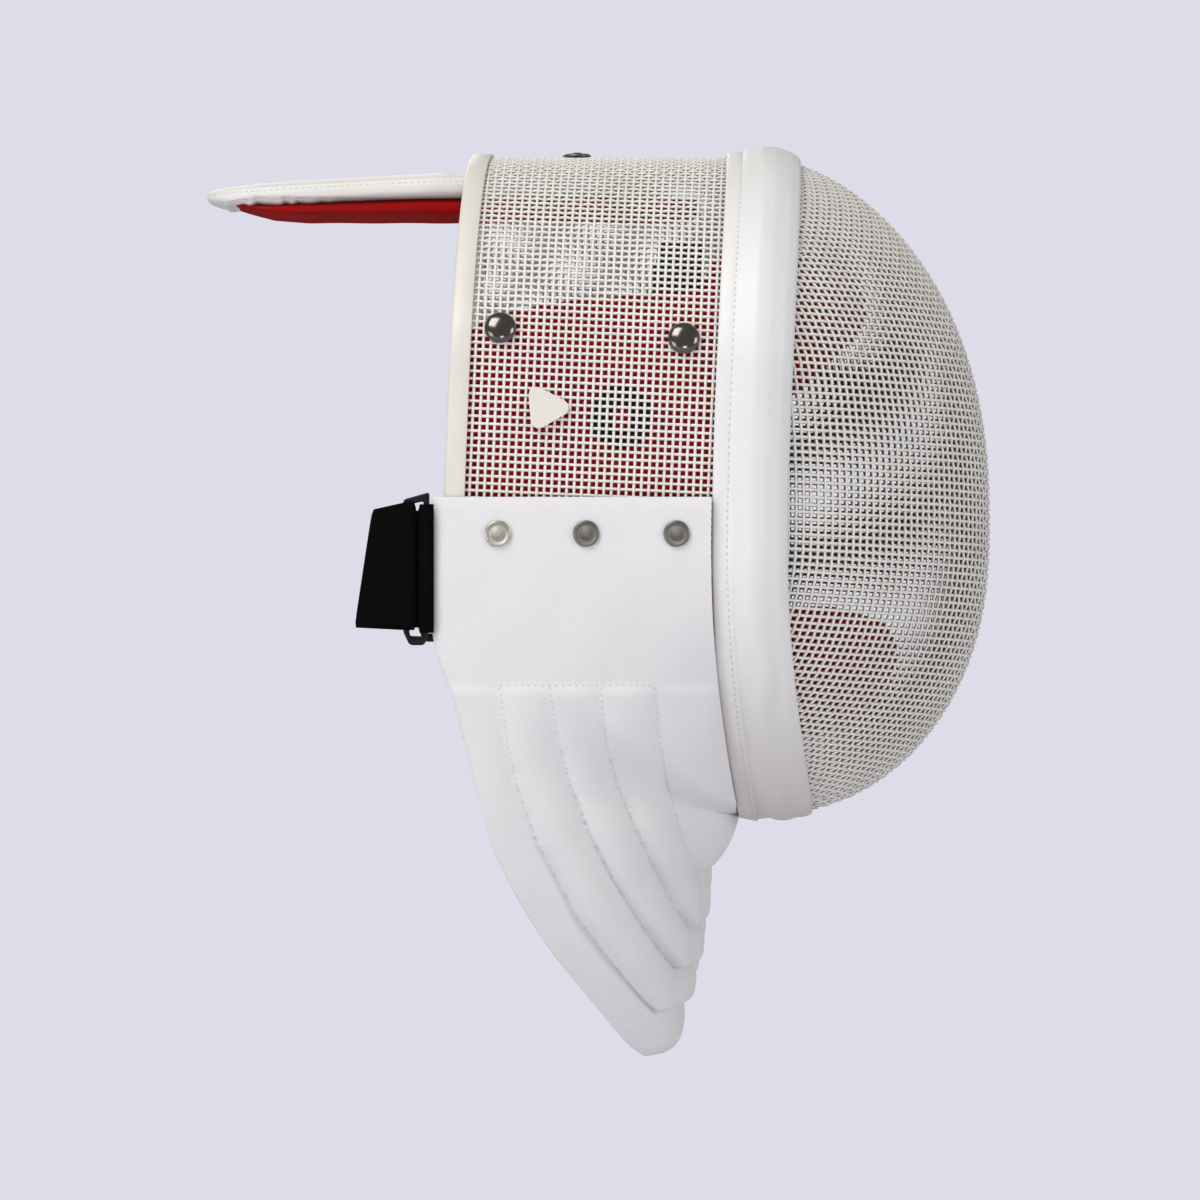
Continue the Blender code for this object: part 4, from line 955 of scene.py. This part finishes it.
def tongue_grid(rows, base, half, count, turns):
    """Rounded sections along the tongue, with their shares along it and their angles t.

    y = half |cos t|^0.55, and z the same way between bottom and top; the edges hang a little.
    """
    along = np.sin(0.5 * math.pi * np.linspace(0.0, 1.0, count))[:, None]
    along = rows[0, 0] + (rows[-1, 0] - rows[0, 0]) * along
    top, bottom, width = read_table(rows, along)
    turn = full_turn(turns)[None, :]
    y = half * width * signed_power(np.cos(turn), 0.55)
    up = signed_power(np.sin(turn), 0.55)
    z = base + 0.001 * (0.5 * (top + bottom) + 0.5 * (top - bottom) * up)
    z = z - EDGE_HANG * (y / half) ** 2
    x = TONGUE_FRONT - along * (TONGUE_FRONT + TONGUE_REACH) + 0.0 * y
    return np.dstack([x, y, z]), along, turn


cover_points, along, turn = tongue_grid(COVER_ROWS, COVER_BASE, TONGUE_HALF, 120, 96)
hem_z = COVER_BASE - 0.0032 - 0.0022 * held((along - 0.90) / 0.08)
under = held((hem_z - cover_points[..., 2]) / 0.0005)
gather = under * held((along - 0.66) / 0.22)
wander = np.sin(along * 61.0) * np.sin(along * 23.0 + 1.0)
folds = np.sin(along * 2.0 * math.pi * 24.0 + 2.2 * wander)
groove = np.exp(-((np.sin(turn) - TONGUE_SEAM) / 0.08) ** 2)
cover_points[..., 2] += FOLD_DEPTH * gather * folds - GROOVE_DEPTH * groove
cover_points[..., 1] *= 1.0 - under * (0.060 + 0.022 * gather * folds) - 0.014 * groove
cover_coat = coat("tongue_leatherette", (0.85, 0.835, 0.805), (0.74, 0.70, 0.65), 0.44, pebble,
                  1100.0, 0.16, patches=18.0)
cover = capped("tongue_sleeve", cover_points, cover_coat)
stand_for(cover, "tongue_cover")
seam_off = np.abs(np.sin(turn[0]) - TONGUE_SEAM)
edge_paths = [cover_points[3:-8, int(np.argmin(seam_off + (way * np.cos(turn[0]) < 0.0)))]
              for way in (1.0, -1.0)]
edge_ups = [np.tile((0.0, way, 0.2), (len(edge_paths[0]), 1)) for way in (1.0, -1.0)]
tongue_thread = thread("tongue", "tongue_thread", edge_paths, edge_ups, band_thread_coat)
stand_for(tongue_thread, "tongue_cover")

red_lining = coat("red_lining", (0.36, 0.006, 0.007), (0.26, 0.010, 0.010), 0.92, nap, 2400.0, 0.45,
                  patches=40.0, amount=0.6, specular=0.08)
tongue_points, _, turn = tongue_grid(PAD_ROWS, PAD_BASE, 0.935 * TONGUE_HALF, 90, 72)
tongue_points[..., 2] += 0.00015 * np.sin(tongue_points[..., 0] * 210.0) * held(-np.sin(turn))
tongue_lining = capped("tongue_lining", tongue_points, red_lining)
stand_for(tongue_lining, "tongue_pad")
spring_steel = coat("spring_steel", (0.40, 0.40, 0.40), (0.26, 0.24, 0.22), 0.32, brushing, 3000.0,
                    0.08, metallic=1.0)
repaint(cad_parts["tongue_spring"], spring_steel)


# Lining: foam pads covered in red napped cloth, sewn round and snapped or laced to the wire. They
# lie along both sides, behind the forehead and behind the chin. Heights are shares of SIDE_DEPTH
# below the crown.
PAD_WALL, PAD_THICK, CHIN_PAD_THICK, PAD_SEAM = 0.0040, 0.0120, 0.0160, 0.0063
SIDE_PAD_ROWS = np.array((
    # share from the ring to the rear edge, top, bottom
    (0.00, 0.225, 1.140),
    (0.09, 0.250, 1.125),
    (0.13, 0.325, 1.120),
    (0.30, 0.345, 1.060),
    (0.48, 0.355, 1.000),
    (0.64, 0.367, 0.980),
    (0.81, 0.396, 0.940),
    (0.89, 0.430, 0.880),
    (0.925, 0.500, 0.820),
))
FOREHEAD_ROWS = np.array((
    # share of the half turn from side to side, top, bottom, share of the face's depth
    (0.00, 0.315, 0.660, 0.66),
    (0.12, 0.290, 0.620, 0.66),
    (0.28, 0.250, 0.540, 0.66),
    (0.40, 0.228, 0.460, 0.66),
    (0.50, 0.222, 0.430, 0.66),
))
CHIN_ROWS = np.array((
    (0.00, 1.080, 1.340, 0.76),
    (0.15, 1.060, 1.370, 0.76),
    (0.32, 1.060, 1.360, 0.76),
    (0.42, 1.080, 1.340, 0.76),
    (0.50, 1.090, 1.330, 0.76),
))
# Painted light: the pads' cloth is the tongue's red lining made brighter, 0.55 against 0.36, for
# pads that lie in shade behind the mesh.
painted_light_pad_cloth = coat("red_pad_cloth", (0.55, 0.010, 0.012), (0.42, 0.016, 0.016), 0.92, nap, 2400.0,
                 0.45, patches=30.0, amount=0.6, specular=0.08)


def cushion(name, outer, inner, node):
    """A sewn pad between two like grids: its faces stand apart by a cushion's profile.

    Share of the full thickness at (u, v), both from -1 to 1 over the grid:
    0.12 + 0.88 ((1 - u^6)(1 - v^6))^0.5, drawn in to a flat sewn edge.
    """
    u, v = np.meshgrid(*(np.linspace(-1.0, 1.0, count) for count in outer.shape[:2]), indexing="ij")
    full = (0.12 + 0.88 * ((1.0 - np.abs(u) ** 6) * (1.0 - np.abs(v) ** 6)) ** 0.5)[..., None]
    middle = 0.30 * inner + 0.70 * outer
    top, low = middle + (outer - middle) * full, middle + (inner - middle) * full
    pad = capped(name, np.concatenate([top, low[::-1]], axis=0).transpose(1, 0, 2), painted_light_pad_cloth)
    stand_for(pad, node)


def front_cushion(name, rows, thick, node):
    """A pad from side to side behind the face: y = -half cos t, x at a share of its depth."""
    turn = np.linspace(0.0, 1.0, 91)
    top, bottom, reach = read_table(rows, np.minimum(turn, 1.0 - turn))
    level = np.linspace(1.0, 0.0, 26)[:, None]
    z = CROWN_TOP - (top + (bottom - top) * level) * SIDE_DEPTH
    angle = math.pi * turn
    half = half_width(z) - PAD_WALL
    y = -half * np.cos(angle)
    bulge = 1.0 - 0.12 * (2.0 * level - 1.0) ** 2 * np.sin(angle)
    ahead = face_x(y, z) - face_x(half, z)
    x = ring_x(z) - PAD_SEAM + (reach * ahead + PAD_SEAM * np.sin(angle)) * bulge
    inner = np.dstack([x - thick * np.sin(angle), y * (1.0 - thick / half), z])
    cushion(name, np.dstack([x, y, z]), inner, node)


pad_at = np.linspace(0.0, SIDE_PAD_ROWS[-1, 0], 46)
pad_top, pad_bottom = read_table(SIDE_PAD_ROWS, pad_at)
pad_level = np.linspace(0.0, 1.0, 34)[:, None]
pad_z = CROWN_TOP - (pad_top + (pad_bottom - pad_top) * pad_level) * SIDE_DEPTH
pad_x = side_x(pad_z, pad_at) - PAD_SEAM - 0.0004
pad_reach = half_width(pad_z) - PAD_WALL
for side, label in SIDES:
    outer, inner = (np.dstack([pad_x, side * (pad_reach - inside), pad_z])
                    for inside in (0.0, PAD_THICK))
    cushion(f"side_lining_{label}", outer, inner, f"pad_{label}")
front_cushion("forehead_lining", FOREHEAD_ROWS, PAD_THICK, "pad_forehead")
front_cushion("chin_lining", CHIN_ROWS, CHIN_PAD_THICK, "pad_chin")


# Rings and tabs of the side pads: a black rubber washer pressed on the outside of each pad over
# the ear, and a short black leather tab that stands up from the front of its top edge.
WASHER_HOLE = 0.0045
TAB_FROM, TAB_TO, TAB_TOP, TAB_BOTTOM, TAB_HALF = 0.18, 0.34, 0.225, 0.321, 0.0011
black_rubber = coat("black_rubber", (0.012, 0.012, 0.012), (0.035, 0.032, 0.030), 0.60, pebble,
                    1500.0, 0.08, patches=70.0, specular=0.2)
black_leather = coat("black_leather", (0.014, 0.013, 0.013), (0.045, 0.040, 0.037), 0.55, pebble,
                     1300.0, 0.20, patches=60.0, specular=0.25)
ring_turn, profile_turn = full_turn(72)[:, None], full_turn(20)[None, :]
swing, rise = (signed_power(wave(profile_turn), 0.6) for wave in (np.cos, np.sin))
tab_level = np.linspace(0.0, 1.0, 26)[:, None]
tab_share = np.linspace(TAB_FROM, TAB_TO, 16)[None, :]
tab_z = CROWN_TOP - (TAB_BOTTOM + (TAB_TOP - TAB_BOTTOM) * tab_level) * SIDE_DEPTH + 0.0 * tab_share
tab_x = side_x(tab_z, tab_share)
tab_y = half_width(tab_z) - PAD_WALL + 0.0006 + 0.0002 * np.sin(tab_x * 500.0) * tab_level
tab_across = (2.0 * tab_share - TAB_FROM - TAB_TO) / (TAB_TO - TAB_FROM)
tab_thin = TAB_HALF * (1.0 - 0.7 * np.abs(tab_across) ** 8) * (1.0 - 0.7 * tab_level ** 10)
for side, label in SIDES:
    low, high = (np.array(corner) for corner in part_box(f"ear_ring_{label}"))
    middle, half_size = 0.5 * (low + high), 0.5 * (high - low)
    radius = 0.5 * (half_size[0] + WASHER_HOLE) + 0.5 * (half_size[0] - WASHER_HOLE) * swing
    washer = middle + np.stack([radius * np.cos(ring_turn),
                                half_size[1] * side * rise + 0.0 * ring_turn,
                                -side * radius * np.sin(ring_turn)], axis=-1)
    item = surface(f"ear_washer_{label}", washer, black_rubber, wrap_rows=True, wrap_columns=True)
    stand_for(item, f"ear_ring_{label}")
    outer, inner = (np.dstack([tab_x, side * (tab_y + way * tab_thin), tab_z])
                    for way in (1.0, -1.0))
    tab = capped(f"pad_tab_{label}", np.concatenate([outer, inner[:, ::-1]], axis=1), black_leather)
    stand_for(tab, f"lining_tab_{label}")


# Strap: wide black elastic that goes round the back of the head. At each side it passes through a
# black plastic loop, is folded back and held; webbing sewn to the bib's edge holds the loop.
STRAP_WIDTH, STRAP_THICK, STRAP_FLAP, STRAP_BACK = 0.0522, 0.0022, 0.017, -0.0978
LOOP_BAR, LOOP_THICK, LOOP_LENGTH, LOOP_HEIGHT = 0.0025, 0.004, 0.0108, 0.0626
TAB_WIDTH, TAB_THICK, WEBBING_GAP = 0.0525, 0.00132, 0.0008
loop_y = HALF_WIDTH + BIB_SEAT + 0.5 * BIB_THICK
loop_rear = BIB_REAR * BIB_LENGTH - LOOP_LENGTH - 0.0008
strap_z = BIB_TOP_Z - 0.5 * LOOP_HEIGHT + 0.0020
elastic_ribs, graph, vector, scale, gives = effect("elastic_ribs", "Height")
split = graph.add("SeparateXYZ", "X", {0: vector}).node.outputs
run, rise = (graph.times(split[axis], scale) for axis in ("X", "Y"))
cords = graph.maths("ABSOLUTE", graph.maths("SINE", graph.times(rise, 3.1416)))
picks = graph.maths("SINE", graph.times(run, 11.0))
fuzz = graph.noise(vector, 2200.0, 3.0)
small = graph.plus(graph.times(picks, 0.14), graph.times(fuzz, 0.3))
graph.feed(gives["Height"], graph.plus(graph.times(cords, 0.6), small))
# The second colour is the painted shade in the hollows of the elastic's ribs.
webbing = on_cloth("black_webbing", (0.0045, 0.0045, 0.0045), (0.0020, 0.0020, 0.0020),
                   elastic_ribs, 900.0, 0.30, 0.85, 0.2, 0.9, 0.04)
black_plastic = coat("black_plastic", (0.005, 0.005, 0.005), (0.016, 0.015, 0.015), 0.34, pebble,
                     1900.0, 0.08, patches=80.0, specular=0.2)


def round_bar(bar, thick, facing, count=41):
    """Middle line in plan of webbing round a bar of a loop: a rounded square from +Y to -Y."""
    turns = np.linspace(0.5 * math.pi, -0.5 * math.pi, count)
    clear = WEBBING_GAP + 0.5 * thick
    x = bar + facing * (0.5 * LOOP_BAR + clear) * np.abs(np.cos(turns)) ** 0.4
    y = loop_y + (0.5 * LOOP_THICK + clear) * signed_power(np.sin(turns), 0.4)
    return np.column_stack([x, y])


def webbing_band(name, line, widths, thick, leans, lift):
    """Flat webbing along a plan line: rounded sections 48 points round, with UV in metres.

    At share v of the half width the half thickness is thick / 2 (1 - |v|^10)^0.5; a lean tips the
    top forward and lift raises the middle.
    """
    along = unit(np.gradient(line, axis=0))
    out = np.column_stack([along[:, 1], -along[:, 0]])
    v = np.concatenate([np.linspace(-1.0, 1.0, 24), np.linspace(1.0, -1.0, 24)])
    half_thick = 0.5 * thick * np.clip(1.0 - np.abs(v) ** 10, 0.01, 1.0) ** 0.5
    swell = np.repeat((-1.0, 1.0), 24) * half_thick
    up = 0.5 * widths * v[None, :] + 0.0 * line[:, :1]
    x = line[:, :1] + out[:, :1] * swell + leans * up
    y = line[:, 1:] + out[:, 1:] * swell
    return capped(name, np.dstack([x, y, strap_z + lift + up]), webbing,
                  uv=np.dstack([path_lengths(line)[:, None] + 0.0 * up, up]))


def rounded(corners, radius):
    """Closed outline through corners, each rounded by a curve of 9 points."""
    corners = np.array(corners)
    ahead = unit(np.roll(corners, -1, axis=0) - corners)
    curve, straight = np.linspace(0.0, 1.0, 9)[:, None], np.linspace(0.0, 1.0, 14)[1:-1, None]
    outline = []
    for index, here in enumerate(corners):
        after = (index + 1) % len(corners)
        first, last = here - radius * ahead[index - 1], here + radius * ahead[index]
        end = corners[after] - radius * ahead[index]
        outline.append((1.0 - curve) ** 2 * first + 2.0 * curve * (1.0 - curve) * here
                       + curve ** 2 * last)
        outline.append((1.0 - straight) * last + straight * end)
    return np.vstack(outline)[:, None, :]


high = 0.5 * LOOP_HEIGHT
low = 0.0038 - high
loop_outer = rounded(((0.0026, -high), (0.0088, -high), (LOOP_LENGTH, 0.0065 - high),
                      (LOOP_LENGTH, high), (0.0, high - 0.003), (0.0, 0.0055 - high)), 0.0016)
loop_inner = rounded(((LOOP_BAR + 0.0004, low), (LOOP_LENGTH - LOOP_BAR - 0.0004, low),
                      (LOOP_LENGTH - LOOP_BAR, 0.0025 + low), (LOOP_LENGTH - LOOP_BAR, -low),
                      (LOOP_BAR, -low - 0.0014), (LOOP_BAR, 0.0025 + low)), 0.0008)
turn = full_turn(20)[None, :, None]
cosine, sine = signed_power(np.cos(turn), 0.55), signed_power(np.sin(turn), 0.55)
flat = loop_inner + (loop_outer - loop_inner) * (0.5 + 0.5 * cosine)
depth_y = loop_y + 0.5 * LOOP_THICK * sine[..., 0] + 0.0 * flat[..., 0]
tab_wrap = round_bar(loop_rear + LOOP_LENGTH - 0.5 * LOOP_BAR, TAB_THICK, -1.0)
tab_end = BIB_REAR * BIB_LENGTH + 0.0010
tab_line = np.vstack([[(tab_end, tab_wrap[0, 1])], tab_wrap, [(tab_end, tab_wrap[-1, 1])]])
for side, label in SIDES:
    loop_points = np.dstack([loop_rear + flat[..., 0], side * depth_y, strap_z + flat[..., 1]])
    loop = surface(f"loop_{label}", loop_points if side < 0.0 else loop_points[:, ::-1],
                   black_plastic, wrap_rows=True, wrap_columns=True)
    stand_for(loop, f"strap_loop_{label}")
    anchor = webbing_band(f"anchor_webbing_{label}", tab_line * (1.0, side), TAB_WIDTH, TAB_THICK,
                          0.0, 0.0)
    stand_for(anchor, f"anchor_tab_{label}")

strap_wrap = round_bar(loop_rear + 0.5 * LOOP_BAR, STRAP_THICK, 1.0)
strap_start = strap_wrap[-1]
flap = strap_wrap[:1] + STRAP_FLAP * np.array([(-1.0, -0.42), (-0.75, -0.24), (-0.5, -0.10),
                                               (-0.25, -0.02)])
sweep = np.linspace(0.0, 0.5 * math.pi, 60)[1:-1, None]
strap_run = np.hstack([strap_start[0] + (STRAP_BACK - strap_start[0]) * np.sin(sweep) ** 0.9,
                       strap_start[1] * np.cos(sweep) ** 0.9])
strap_half = np.vstack([flap, strap_wrap, strap_run])
strap_line = np.vstack([strap_half, [(STRAP_BACK, 0.0)], (strap_half * (1.0, -1.0))[::-1]])
reached = held((strap_start[0] - strap_line[:, :1]) / (strap_start[0] - STRAP_BACK))
strap = webbing_band("elastic_strap", strap_line, STRAP_WIDTH - 0.0042 * reached, STRAP_THICK,
                     0.165 * reached, 0.0010 * (1.0 - reached))
stand_for(strap, "head_strap")
